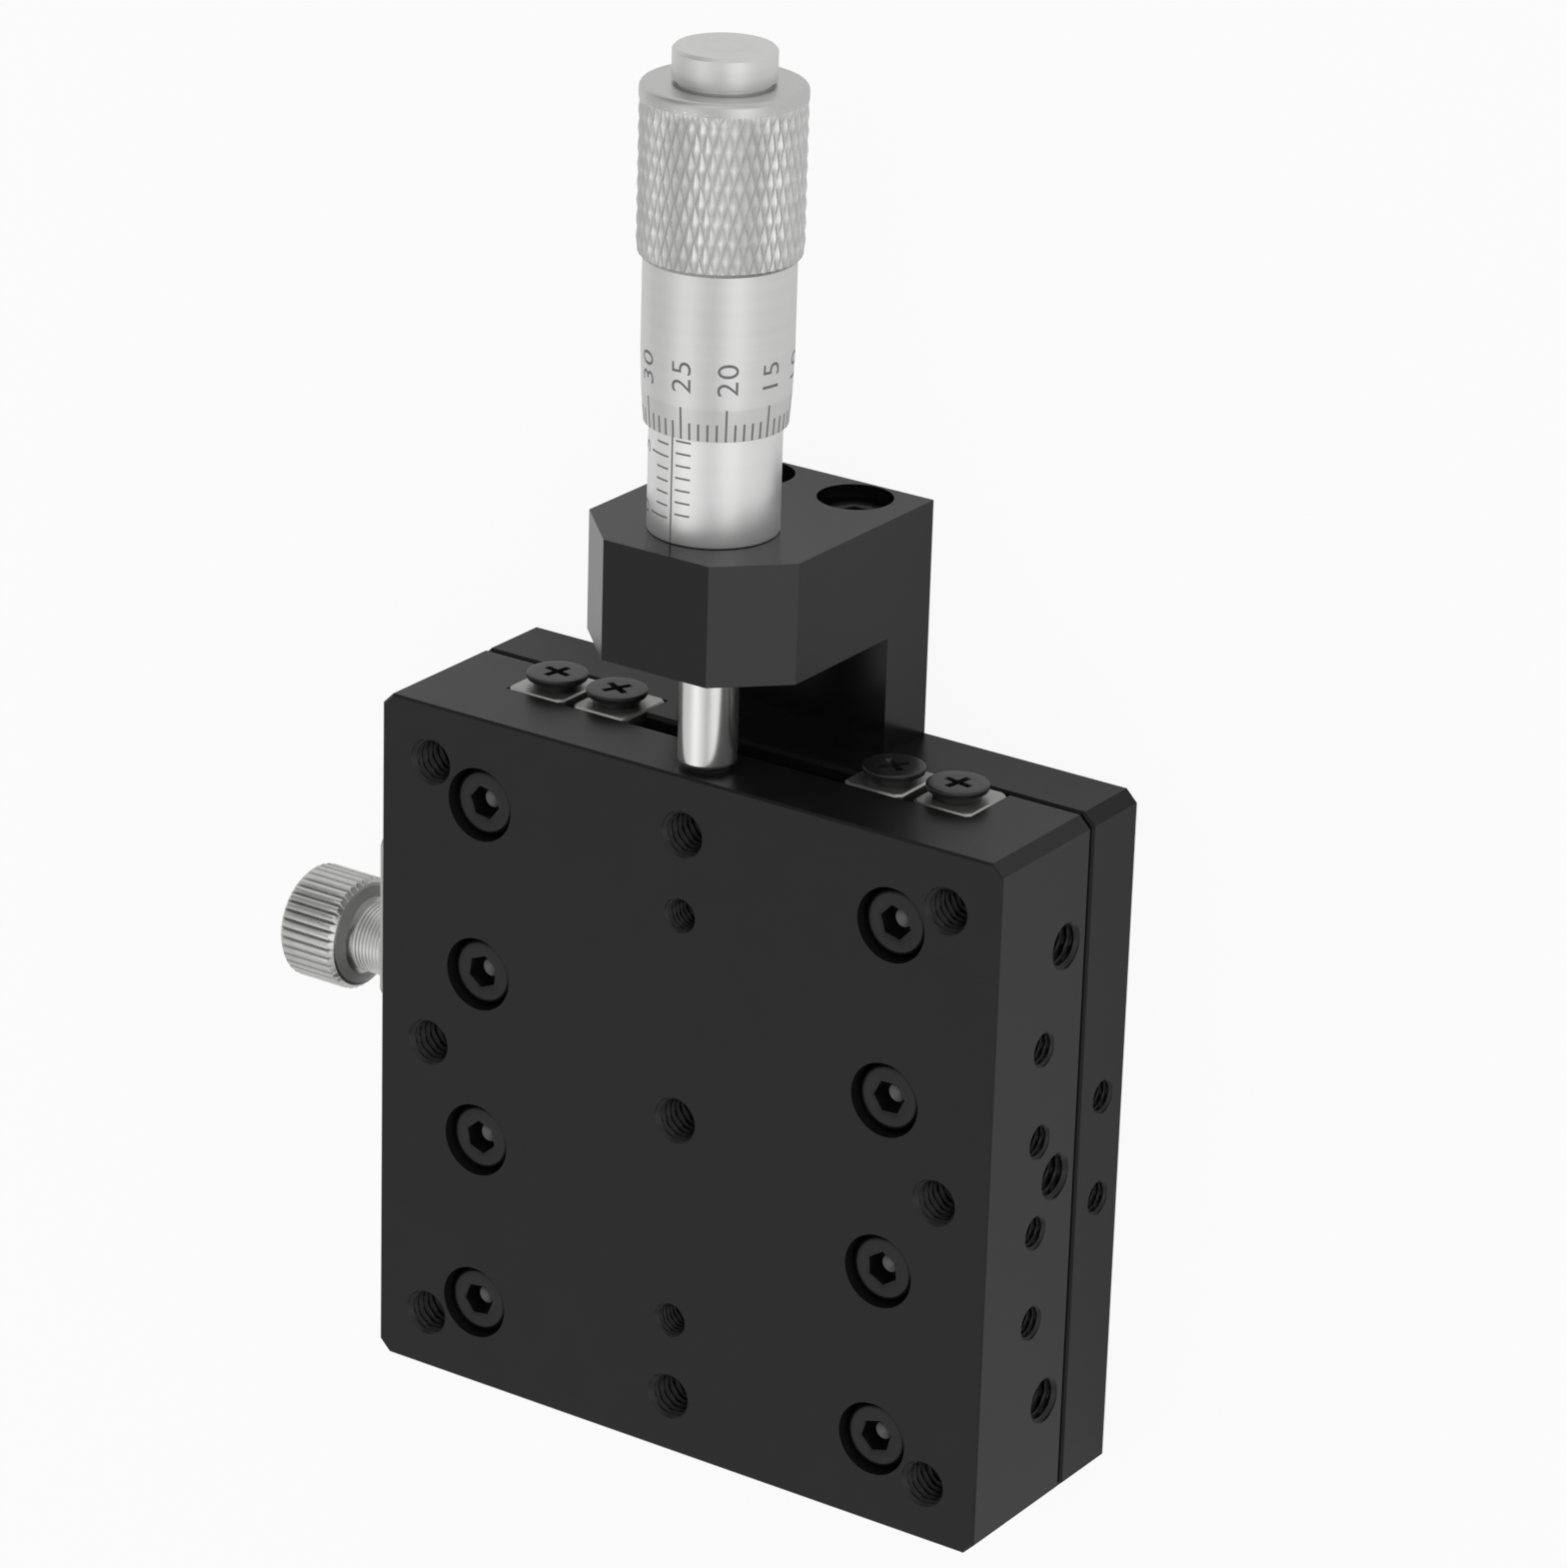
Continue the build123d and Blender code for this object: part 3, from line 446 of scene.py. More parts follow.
class GroupMaker(Nodes):
    """Builds a shader group with a vector and a density in, and a height and a tone out."""

    def __init__(self, kind: Group) -> None:
        """Makes the group with its sockets.

        Args:
            kind: Which group it is.
        """
        super().__init__(bpy.data.node_groups.new(kind.value, "ShaderNodeTree"))
        for name, way, socket in (
            ("Vector", "INPUT", "NodeSocketVector"), ("Density", "INPUT", "NodeSocketFloat"),
            ("Height", "OUTPUT", "NodeSocketFloat"), ("Tone", "OUTPUT", "NodeSocketFloat"),
        ):
            self.tree.interface.new_socket(name, in_out=way, socket_type=socket)
        self.source = self.tree.nodes.new("NodeGroupInput").outputs
        self.target = self.tree.nodes.new("NodeGroupOutput")

    def density(self, share: float) -> bpy.types.NodeSocket:
        """A share of the group's density."""
        return self.math("MULTIPLY", self.source["Density"], share)

    def noise(
        self, share: float, detail: float, vector: bpy.types.NodeSocket | None = None
    ) -> bpy.types.NodeSocket:
        """Adds solid noise whose scale is a share of the group's density.

        Args:
            share: Share of the density.
            detail: How many finer layers the noise has.
            vector: Where the noise is read, or the group's own vector without one.

        Returns:
            The noise's value socket.
        """
        inputs = {
            "Vector": vector or self.source["Vector"], "Scale": self.density(share),
            "Detail": detail,
        }
        return self.add("ShaderNodeTexNoise", inputs).outputs["Fac"]

    def lines(self, place: bpy.types.NodeSocket, share: float) -> bpy.types.NodeSocket:
        """Adds noise along one number, so that it makes lines where that number is constant.

        Args:
            place: The number.
            share: Share of the group's density.

        Returns:
            The noise's value socket.
        """
        along = self.math("MULTIPLY", place, self.density(share))
        inputs = {"W": along, "Scale": 1.0, "Detail": 3.0}
        return self.add("ShaderNodeTexNoise", inputs, noise_dimensions="1D").outputs["Fac"]

    def parts(self) -> bpy.types.NodeOutputs:
        """The vector's X, Y and Z."""
        return self.add("ShaderNodeSeparateXYZ", {0: self.source["Vector"]}).outputs

    def polar(self) -> tuple[bpy.types.NodeSocket, bpy.types.NodeSocket]:
        """Distance from the vector's Z axis, and its Z.

        Returns:
            A socket for each.
        """
        x, y, z = self.parts()
        squares = [self.math("MULTIPLY", value, value) for value in (x, y)]
        return self.math("SQRT", self.math("ADD", *squares)), z

    def finish(
        self, height: bpy.types.NodeSocket, tone: bpy.types.NodeSocket
    ) -> bpy.types.NodeTree:
        """Joins the outputs and gives the group back."""
        self.feed(self.target, {"Height": height, "Tone": tone})
        return self.tree


def grain_group() -> bpy.types.NodeTree:
    """Blasted grain: fine noise as the height and slow noise as the tone."""
    maker = GroupMaker(Group.GRAIN)
    height = maker.noise(share=1.0, detail=2.0)
    return maker.finish(height, maker.noise(share=0.03, detail=4.0))


def turning_group() -> bpy.types.NodeTree:
    """Lathe marks round the Z axis: noise over the sum of radius and height.

    Returns:
        The group's tree.
    """
    maker = GroupMaker(Group.TURNING)
    place = maker.math("ADD", *maker.polar())
    return maker.finish(maker.lines(place, share=1.0), maker.lines(place, share=0.1))


def grinding_group() -> bpy.types.NodeTree:
    """Grinding marks along Y: noise over height and width with a little drift along the length.

    Returns:
        The group's tree.
    """
    maker = GroupMaker(Group.GRINDING)
    squeeze = {0: maker.source["Vector"], 1: GRINDING_SQUEEZE}
    vector = maker.add("ShaderNodeVectorMath", squeeze, operation="MULTIPLY").outputs[0]
    height = maker.noise(share=1.0, detail=3.0, vector=vector)
    return maker.finish(height, maker.noise(share=0.1, detail=2.0, vector=vector))


def knurl_shade_group() -> bpy.types.NodeTree:
    """Knurl tone with painted shade: darkest at the grooves' bottom and lighter towards the tops,
    with a slow random drift.

    Returns:
        The group's tree.
    """
    maker = GroupMaker(Group.KNURL)
    radius, _ = maker.polar()
    # Painted shade: the tone, and with it the colour, grows from the grooves' bottom to the tops.
    above = maker.math("SUBTRACT", radius, (KNURL_RADIUS - KNURL_DEPTH) * MM)
    tone = maker.math("DIVIDE", above, KNURL_DEPTH * MM)
    drift = maker.math("SUBTRACT", maker.noise(share=0.15, detail=2.0), 0.5)
    height = maker.noise(share=1.0, detail=2.0)
    return maker.finish(height, maker.math("ADD", tone, drift))


def chamfer_highlight_group() -> bpy.types.NodeTree:
    """Painted highlight on the bracket's chamfers: the tone is one where |x| + z passes their
    plane, over a fine grain.

    Returns:
        The group's tree.
    """
    maker = GroupMaker(Group.CHAMFER)
    x, _, z = maker.parts()
    reach = maker.math("ADD", maker.math("ABSOLUTE", x), z)
    # Painted highlight: the colour is lighter past the chamfers' plane.
    tone = maker.math("GREATER_THAN", reach, CHAMFER_PLANE * MM)
    return maker.finish(maker.noise(share=1.0, detail=2.0), tone)


GROUP_MAKERS = {
    Group.GRAIN: grain_group,
    Group.TURNING: turning_group,
    Group.GRINDING: grinding_group,
    Group.KNURL: knurl_shade_group,
    Group.CHAMFER: chamfer_highlight_group,
}


@dataclass(frozen=True)
class Finish:
    """A surface: its colour, its gloss and the fine pattern that it carries."""

    name: str
    color: tuple[float, float, float]
    roughness: tuple[float, float]
    metallic: float = 0.0
    specular: float = 0.5
    tone: float = 0.1
    pattern: Group = Group.GRAIN
    density: float = 9000.0
    bump: float = 0.1
    axis: Spot | None = None

    def material(self, groups: dict[Group, bpy.types.NodeTree]) -> bpy.types.Material:
        """Builds the material over Object coordinates.

        Args:
            groups: The shared shader groups by kind.

        Returns:
            The material.
        """
        material = bpy.data.materials.new(self.name)
        material.use_nodes = True
        nodes = Nodes(material.node_tree)
        inputs = {"Vector": self.coordinates(nodes), "Density": self.density}
        pattern = nodes.add("ShaderNodeGroup", inputs, node_tree=groups[self.pattern]).outputs
        gloss = nodes.add("ShaderNodeMapRange", {
            "Value": pattern["Tone"], "To Min": self.roughness[0], "To Max": self.roughness[1],
        })
        bump = nodes.add("ShaderNodeBump", {
            "Strength": self.bump, "Distance": BUMP_HEIGHT, "Height": pattern["Height"],
        })
        nodes.feed(nodes.tree.nodes["Principled BSDF"], {
            "Base Color": self.tint(nodes, pattern["Tone"]),
            "Metallic": self.metallic,
            "Roughness": gloss.outputs["Result"],
            "Specular IOR Level": self.specular,
            "Normal": bump.outputs["Normal"],
        })
        return material

    def coordinates(self, nodes: Nodes) -> bpy.types.NodeSocket:
        """Object coordinates, moved and turned to the part's own axis if it has one.

        Args:
            nodes: The material's tree.

        Returns:
            The coordinates' socket.
        """
        place = nodes.add("ShaderNodeTexCoord").outputs["Object"]
        if self.axis is None:
            return place
        basis = self.axis.basis()
        return nodes.add("ShaderNodeMapping", {
            "Vector": place,
            "Location": -basis @ np.array(self.axis.origin) * MM,
            "Rotation": Matrix(basis.tolist()).to_euler(),
        }).outputs["Vector"]

    def tint(self, nodes: Nodes, tone: bpy.types.NodeSocket) -> bpy.types.NodeSocket:
        """The colour, which drifts darker and lighter with the pattern's tone; on the knurl this
        paints shade into the grooves, and on the bracket it paints a highlight on the chamfers.

        Args:
            nodes: The material's tree.
            tone: The pattern's tone.

        Returns:
            The colour's socket.
        """
        dark, light = (
            (*(channel * share for channel in self.color), 1.0)
            for share in (1 - self.tone, 1 + self.tone)
        )
        inputs = {0: tone, 6: dark, 7: light}
        return nodes.add("ShaderNodeMix", inputs, data_type="RGBA").outputs[2]


micrometer_finish = partial(Finish, pattern=Group.TURNING, axis=MICROMETER)
clamp_finish = partial(Finish, pattern=Group.TURNING, bump=0.15, axis=CLAMP_AXIS)

FINISHES = (
    Finish(
        "black_anodised", (0.01, 0.01, 0.0105), (0.28, 0.36), specular=0.26, tone=0.2, bump=0.25
    ),
    # A darker, less glossy copy of the table's anodising for the base: painted shade.
    Finish(
        "black_anodised_shaded_base", (0.008, 0.008, 0.0085), (0.28, 0.36), specular=0.19, tone=0.2,
        bump=0.25,
    ),
    # Bracket anodising: its colour is lighter on the chamfers than on the flat faces, a painted
    # highlight.
    Finish(
        "black_anodised_bracket", (0.02, 0.02, 0.0205), (0.2, 0.2), specular=0.28, tone=0.75,
        pattern=Group.CHAMFER, bump=0.12,
    ),
    Finish("cut_thread", (0.007, 0.007, 0.0075), (0.3, 0.42), specular=0.35),
    Finish(
        "rail_steel", (0.42, 0.42, 0.4), (0.3, 0.45), 1.0, pattern=Group.GRINDING, density=8000.0
    ),
    Finish("rail_end_steel", (0.45, 0.45, 0.44), (0.35, 0.5), 1.0, tone=0.3),
    Finish("black_oxide_screws", (0.014, 0.014, 0.014), (0.24, 0.34), specular=0.47, tone=0.2),
    # A darker, less glossy copy of the screws' black oxide for the upward cap heads: painted
    # shade.
    Finish("black_oxide_caps_shaded", (0.007, 0.007, 0.007), (0.24, 0.34), specular=0.33, tone=0.2),
    micrometer_finish("satin_chrome", (0.76, 0.76, 0.755), (0.34, 0.42), 0.95, tone=0.05),
    # A darker copy of the thimble's satin chrome for the bevel: painted shade.
    micrometer_finish("satin_chrome_bevel_shade", (0.71, 0.71, 0.705), (0.34, 0.42), 0.95, tone=0.05),
    micrometer_finish("satin_barrel", (0.92, 0.92, 0.915), (0.34, 0.42), 0.75, tone=0.03),
    micrometer_finish("satin_shoulder", (0.62, 0.62, 0.615), (0.3, 0.38), 1.0, tone=0.05),
    micrometer_finish(
        "turned_cap", (0.77, 0.77, 0.765), (0.4, 0.46), 1.0, tone=0.06, density=7000.0, bump=0.15
    ),
    # Knurl chrome: darker at the grooves' bottom than at the tops, painted shade.
    micrometer_finish(
        "knurled_chrome", (0.66, 0.66, 0.655), (0.38, 0.22), 1.0, tone=0.18,
        pattern=Group.KNURL, bump=0.05,
    ),
    Finish("ground_steel", (0.86, 0.86, 0.85), (0.2, 0.24), 0.95, tone=0.03, bump=0.0),
    # Lighter steel for the cones in the cap screws' sockets: painted highlight.
    Finish("socket_glint_steel", (0.13, 0.13, 0.13), (0.35, 0.45), 1.0),
    Finish("spring_wire", (0.5, 0.5, 0.48), (0.25, 0.35), 1.0),
    Finish("cage_brass", (0.62, 0.45, 0.2), (0.3, 0.4), 1.0, pattern=Group.GRINDING),
    clamp_finish("clamp_steel", (0.64, 0.64, 0.63), (0.22, 0.3), 1.0),
    clamp_finish("clamp_face_steel", (0.36, 0.36, 0.355), (0.38, 0.46), 0.5),
    Finish("clamp_plate_steel", (0.5, 0.5, 0.49), (0.3, 0.42), 1.0, pattern=Group.GRINDING),
    Finish("mark_ink", (0.19, 0.19, 0.19), (0.45, 0.6), specular=0.3, bump=0.3),
)

NODE_FINISHES = {
    "black_anodised": ("table_plate",),
    # The base plate takes the shaded copy of the anodising: painted shade.
    "black_anodised_shaded_base": ("base_plate",),
    "black_anodised_bracket": ("micrometer_bracket",),
    "rail_steel": ("inner_rail_left", "inner_rail_right", "outer_rail_left", "outer_rail_right"),
    "black_oxide_screws": ("inner_rail_screws", "barrel_set_screw", "spindle_anvil"),
    "satin_chrome": ("thread_adjusting_nut",),
    "ground_steel": ("base_spring_pin", "table_spring_pin", "rollers_left", "rollers_right"),
    "cage_brass": ("cage_left", "cage_right"),
    "clamp_plate_steel": ("clamp_plate", "clamp_plate_screw"),
}


@dataclass
class Workshop:
    """All materials by name, with which pieces and solids are dressed."""

    materials: dict[str, bpy.types.Material] = field(default_factory=dict)

    def prepare(self) -> None:
        """Makes the shader groups and one material per finish."""
        groups = {kind: make() for kind, make in GROUP_MAKERS.items()}
        self.materials = {finish.name: finish.material(groups) for finish in FINISHES}

    def dress_nodes(self) -> None:
        """Gives each solid that stays in view its finish."""
        for finish, nodes in NODE_FINISHES.items():
            for node in nodes:
                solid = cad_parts[node]
                if not solid.material_slots:
                    solid.data.materials.append(self.materials[finish])
                for slot in solid.material_slots:
                    slot.material = self.materials[finish]
                LOG.info("%s: %s", node, finish)

    def piece(
        self, name: str, surface: Surface, finish: str, slot: str, *replaces: str,
        sharp_degrees: float = 35.0,
    ) -> Piece:
        """A piece with its finish's material.

        Args:
            name: The piece's name.
            surface: Its closed surface.
            finish: Name of its finish.
            slot: Name of the CAD material that it stands for; not used.
            replaces: Solids that it takes the place of.
            sharp_degrees: Angle between faces above which an edge is sharp.

        Returns:
            The piece, not yet built.
        """
        return Piece(name, surface, self.materials[finish], slot, replaces, sharp_degrees)


@dataclass(frozen=True)
class Thread:
    """A metric thread in a tapped hole."""

    major: float
    minor: float
    pitch: float
    steepness: float = 1.5
    crest: float = 0.3
    skin: float = 0.03
    segments: int = 36
    rows_per_turn: int = 8

    def ring(self, mouth: Spot, depth: float) -> Surface:
        """The cut wall of one hole as a ring that lines it.

        The inner radius is the minor radius plus a steepened triangle wave of height over
        pitch less angle over a full turn, and never less than the mouth's 45 degree cone.

        Args:
            mouth: Middle of the hole's mouth, with its axis pointing into the hole.
            depth: Length of the ring.

        Returns:
            A closed surface.
        """
        angle = even_turn(self.segments)
        height = np.linspace(0.0, depth, round(depth / self.pitch * self.rows_per_turn))
        wave = triangle_wave(height[:, None] / self.pitch - angle[None, :] / math.tau)
        share = np.clip(wave * self.steepness - self.crest, 0.0, 1.0)
        cut = self.minor + (self.major - self.minor) * share
        inner = np.maximum(cut, self.major - height[:, None])
        radius = np.concatenate((inner, np.full((2, self.segments), self.major + self.skin)))
        return mouth.skin(radius, angle, np.concatenate((height, (depth, self.skin))))


@dataclass
class TappedHoles:
    """Cut threads in the holes that the user fastens things to."""

    m4: Thread = Thread(2.0, 1.66, 0.7)
    m3: Thread = Thread(1.5, 1.26, 0.5)
    corner_inset: float = 5.0
    wall_depth: float = 6.0
    top_m3_inset: float = 12.0
    side_m4_inset: float = 10.0
    side_m4_rise: float = 2.95
    side_m3_rise: float = 5.55
    side_m3_rows: tuple[float, ...] = (-12.0, -4.0, 4.0, 12.0)
    base_side_rows: tuple[float, ...] = (-4.5, 4.5)
    base_side_height: float = 3.15
    base_bottom_depth: float = 5.0
    web_gap: float = 0.2
    bottom_gap: float = 0.05

    def top_holes(self) -> list[Surface]:
        """Rings in the table's face: a three by three grid and two small holes between.

        Returns:
            One ring per hole.
        """
        high = node_box("table_plate")[1]
        top = high[2]
        web = top - node_box("outer_rail_left")[1][2] - self.web_gap
        x_edge, y_edge = (value - self.corner_inset for value in high[:2])
        columns = ((-x_edge, self.wall_depth), (0.0, web), (x_edge, self.wall_depth))
        small = high[1] - self.top_m3_inset
        return [
            self.m4.ring(Spot((x, y, top), DOWN), depth - self.bottom_gap)
            for x, depth in columns for y in (-y_edge, 0.0, y_edge)
        ] + [self.m3.ring(Spot((0.0, y, top), DOWN), web) for y in (-small, small)]

    def side_holes(self) -> list[Surface]:
        """Rings in both of the table's side faces, apart from the two that hold the clamp.

        Returns:
            One ring per hole.
        """
        low, high = node_box("table_plate")
        depth = self.wall_depth - self.bottom_gap
        reach = high[1] - self.side_m4_inset
        m4_height, m3_height = low[2] + self.side_m4_rise, low[2] + self.side_m3_rise
        rings = []
        for x, inward in ((low[0], RIGHT), (high[0], LEFT)):
            rings += [
                self.m4.ring(Spot((x, y, m4_height), inward), depth) for y in (-reach, 0.0, reach)
            ] + [
                self.m3.ring(Spot((x, y, m3_height), inward), depth)
                for y in self.side_m3_rows if not x < 0 < y
            ]
        return rings

    def base_holes(self) -> list[Surface]:
        """Rings in the base's right side and underside.

        Returns:
            One ring per hole.
        """
        low, high = node_box("base_plate")
        depth = self.wall_depth - self.bottom_gap
        bottom_depth = self.base_bottom_depth - self.bottom_gap
        x_edge, y_edge = (value - self.corner_inset for value in high[:2])
        return [
            self.m3.ring(Spot((high[0], y, self.base_side_height), LEFT), depth)
            for y in self.base_side_rows
        ] + [
            self.m4.ring(Spot((x, y, low[2]), UP), bottom_depth)
            for x in (-x_edge, x_edge) for y in (-y_edge, y_edge)
        ]

    def build(self, workshop: Workshop) -> None:
        """Builds one piece of rings for the table and one for the base.

        Args:
            workshop: Gives each piece its material.
        """
        for name, rings, body in (
            ("table_threads", self.top_holes() + self.side_holes(), Body.TABLE),
            ("base_threads", self.base_holes(), Body.BASE),
        ):
            workshop.piece(name, joined(rings), "cut_thread", "black_anodised").ride(body)


class Drive(Enum):
    """Recess that a screw is turned by."""

    HEX = "hex"
    CROSS = "cross"


@dataclass(frozen=True)
class Recess:
    """Outline and depth of a screw's drive, with a cone at its bottom."""

    drive: Drive
    size: float
    depth: float
    arm: float = 0.0
    floor_share: float = 1.0
    cone: float = 0.05
    columns: int = 48
    angle_digits: int = 9
    least: float = 1e-9

    def corners(self) -> np.ndarray:
        """Angles of the outline's corners in radians.

        Returns:
            One angle per corner, or six even steps for a hexagon.
        """
        if self.drive is Drive.HEX:
            return even_turn(6)
        tip = math.atan2(self.arm, self.size)
        quarter = np.array((tip, math.pi / 4, math.pi / 2 - tip))
        return (np.arange(4)[:, None] * math.pi / 2 + quarter).reshape(-1)

    def angles(self) -> np.ndarray:
        """Even steps round the screw together with every corner."""
        angles = np.concatenate((even_turn(self.columns), self.corners()))
        return np.unique(np.round(angles, self.angle_digits))

    def radius(self, angle: np.ndarray) -> np.ndarray:
        """Distance from the axis to the outline.

        A hexagon's is half its width over the cosine of the angle from the nearest flat. A
        cross is the larger of two bars, and each bar's is the smaller of its two half sizes
        over the cosine and over the sine.

        Args:
            angle: Angles in radians.

        Returns:
            One radius per angle.
        """
        half = self.size / 2
        if self.drive is Drive.HEX:
            return half / np.cos(angle % (math.pi / 3) - math.pi / 6)
        bar = self.arm / 2
        along = np.maximum(np.abs(np.cos(angle)), self.least)
        across = np.maximum(np.abs(np.sin(angle)), self.least)
        first = np.minimum(half / along, bar / across)
        second = np.minimum(bar / along, half / across)
        return np.maximum(first, second)


@dataclass(frozen=True)
class Screw:
    """A screw's drive, and its section from the drive's edge outwards and down to its end."""

    section: Outline
    recess: Recess
    countersink: float

    def surface(self, head: Spot, turn: float) -> Surface:
        """The screw as a closed surface below a head's face.

        Args:
            head: Middle of the head's face, with its axis pointing out of the screw.
            turn: How far the drive is turned, in degrees.

        Returns:
            A closed surface.
        """
        angle = self.recess.angles()
        mouth = self.recess.radius(angle)
        floor = -self.recess.depth
        drive = np.stack((mouth * 0, mouth * self.recess.floor_share, mouth))
        drive_heights = (floor - self.recess.cone, floor, -self.countersink)
        outside = self.section.drawn()
        radius = np.concatenate((drive, all_round(outside[:, 0], len(angle))))
        height = np.concatenate((drive_heights, outside[:, 1]))
        return head.skin(radius, angle + math.radians(turn), height, False)


@dataclass
class Fasteners:
    """Screws whose heads are seen: cap screws in pockets, and pan heads at the rails' ends."""

    cap_radius: float = 2.75
    cap_height: float = 3.0
    cap_edge: float = 0.4
    cap_shank: float = 1.45
    hexagon: Recess = Recess(Drive.HEX, 2.5, 1.9)
    hexagon_mouth: float = 1.62
    hexagon_countersink: float = 0.12
    # Light steel cones inside the cap screws' sockets: a painted highlight.
    glint_cone_radius: float = 0.75
    glint_cone_rim: float = 1.25
    glint_cone_tip: float = 1.6
    glint_cone_skin: float = 0.04
    glint_cone_segments: int = 32
    pan_face: float = 1.65
    pan_radius: float = 2.55
    pan_rim: float = 0.5
    pan_draft: float = 0.04
    pan_face_round: float = 0.16
    pan_rim_round: float = 0.1
    pan_foot_radius: float = 1.95
    pan_foot_flare: float = 0.1
    pan_foot_drop: float = 0.2
    pan_seat: float = 1.2
    pan_shank: float = 1.2
    pan_length: float = 6.4
    cross: Recess = Recess(Drive.CROSS, 2.6, 0.9, arm=0.6, floor_share=0.7)
    rail_rows: tuple[float, ...] = (-22.5, -7.5, 7.5, 22.5)
    rail_column: float = 20.0
    rail_turns: tuple[float, ...] = (8.0, 41.0, 23.0, 52.0, 15.0, 33.0, 4.0, 47.0)
    bracket_column: float = 4.75
    bracket_height: float = 3.75
    bracket_turns: tuple[float, float] = (12.0, 37.0)
    pan_z: float = 10.2
    table_pans: tuple[tuple[float, float], ...] = ((-19.5, -12.0), (19.5, -10.0))
    base_pans: tuple[tuple[float, float], ...] = ((-13.5, -26.0), (13.5, -35.0))
    pad_thickness: float = 0.7
    pad_edge: float = 0.15
    pad_corner: float = 0.5

    def cap_screw(self, length: float) -> Screw:
        """Socket head cap screw of a length over all.

        Args:
            length: From the head's face to the shank's end.

        Returns:
            The screw.
        """
        head, shank, seat = self.cap_radius, self.cap_shank, -self.cap_height
        section = Outline([
            (self.hexagon_mouth, 0.0), (head, 0.0), (head, seat), (shank, seat),
            (shank, -length), (0.0, -length),
        ], {1: self.cap_edge})
        return Screw(section, self.hexagon, self.hexagon_countersink)

    def pan_screw(self) -> Screw:
        """Cross recess pan head screw, narrower below its rim.

        Returns:
            The screw.
        """
        rim, foot, shank = self.pan_radius, self.pan_foot_radius, self.pan_shank
        section = Outline([
            (self.pan_face, 0.0), (rim, 0.0), (rim - self.pan_draft, -self.pan_rim),
            (foot + self.pan_foot_flare, -self.pan_rim - self.pan_foot_drop),
            (foot, -self.pan_seat), (shank, -self.pan_seat), (shank, -self.pan_length),
            (0.0, -self.pan_length),
        ], {1: self.pan_face_round, 2: self.pan_rim_round})
        return Screw(section, self.cross, 0.0)

    def rail_places(self) -> list[tuple[float, float]]:
        """X and Y of the eight cap screws in the table."""
        return [(x, y) for x in (-self.rail_column, self.rail_column) for y in self.rail_rows]

    def rail_bolts(self) -> Surface:
        """Eight cap screws that hold the outer rails to the table.

        Returns:
            One surface that holds all eight.
        """
        low, high = node_box("outer_rail_screws")
        screw = self.cap_screw(high[2] - low[2])
        return joined([
            screw.surface(Spot((x, y, high[2]), UP), turn)
            for (x, y), turn in zip(self.rail_places(), self.rail_turns)
        ])

    def bracket_bolts(self) -> Surface:
        """Two cap screws through the bracket's leg.

        Returns:
            One surface that holds both.
        """
        low, high = node_box("bracket_screws")
        screw = self.cap_screw(high[1] - low[1])
        columns = (-self.bracket_column, self.bracket_column)
        return joined([
            screw.surface(Spot((x, high[1], self.bracket_height), ALONG), turn)
            for x, turn in zip(columns, self.bracket_turns)
        ])

    def socket_glint_cones(self) -> Surface:
        """Light steel cone inside each cap screw's socket in the table, a painted highlight on the
        socket's floor.

        Returns:
            One surface that holds all eight.
        """
        top = node_box("outer_rail_screws")[1][2]
        rim, skin = self.glint_cone_radius, self.glint_cone_skin
        cone = Outline([
            (0.0, -self.glint_cone_tip), (rim, -self.glint_cone_rim), (rim, -self.glint_cone_rim - skin),
            (0.0, -self.glint_cone_tip - skin),
        ])
        return joined([
            turned(Spot((x, y, top), UP), cone, self.glint_cone_segments)
            for x, y in self.rail_places()
        ])

    def pans(self, node: str, places: tuple[tuple[float, float], ...]) -> Surface:
        """Pan head screws at both ends of two rails.

        Args:
            node: The solid that they take the place of.
            places: X and the drive's turn in degrees for each rail.

        Returns:
            One surface that holds all four.
        """
        low, high = node_box(node)
        screw = self.pan_screw()
        return joined([
            screw.surface(Spot((x, y, self.pan_z), axis), turn)
            for x, turn in places for y, axis in ((low[1], BACKWARDS), (high[1], ALONG))
        ])

    def pads(self, rails: tuple[str, str]) -> Surface:
        """Bare steel pads under the pan heads, one on each end of two rails.

        A pad's outline is the rail's rectangle with its corners cut. It is carried out from
        the rail's end, drawn in by the edge break, and closed to a middle point at both ends.

        Args:
            rails: The two rails.

        Returns:
            One surface that holds all four.
        """
        cut, face = self.pad_corner, self.pad_thickness
        reach = np.array((0.0, 0.0, face - self.pad_edge, face, face))
        made = []
        for low, high in (map(np.array, node_box(rail)) for rail in rails):
            middle, half = (low + high) / 2, (high - low) / 2
            corner = np.array((
                (half[0] - cut, half[2]), (half[0], half[2] - cut), (half[0], cut - half[2]),
                (half[0] - cut, -half[2]),
            ))
            outline = np.concatenate((corner, -corner))
            drawn_in = outline * (1 - self.pad_edge / half[[0, 2]])
            rings = np.stack((outline * 0, outline, outline, drawn_in, drawn_in * 0))
            faces = grid_faces(len(rings), len(outline), False)
            for end in (-1.0, 1.0):
                points = np.empty((*rings.shape[:2], 3))
                points[..., 0] = middle[0] + rings[..., 0]
                points[..., 1] = end * (half[1] + reach[:, None])
                points[..., 2] = middle[2] + rings[..., 1]
                made.append(Surface(points.reshape(-1, 3), faces))
        return joined(made)

    def build(self, workshop: Workshop) -> None:
        """Builds one piece of screws for each solid that held them, and the pads below them.

        Args:
            workshop: Gives each piece its material.
        """
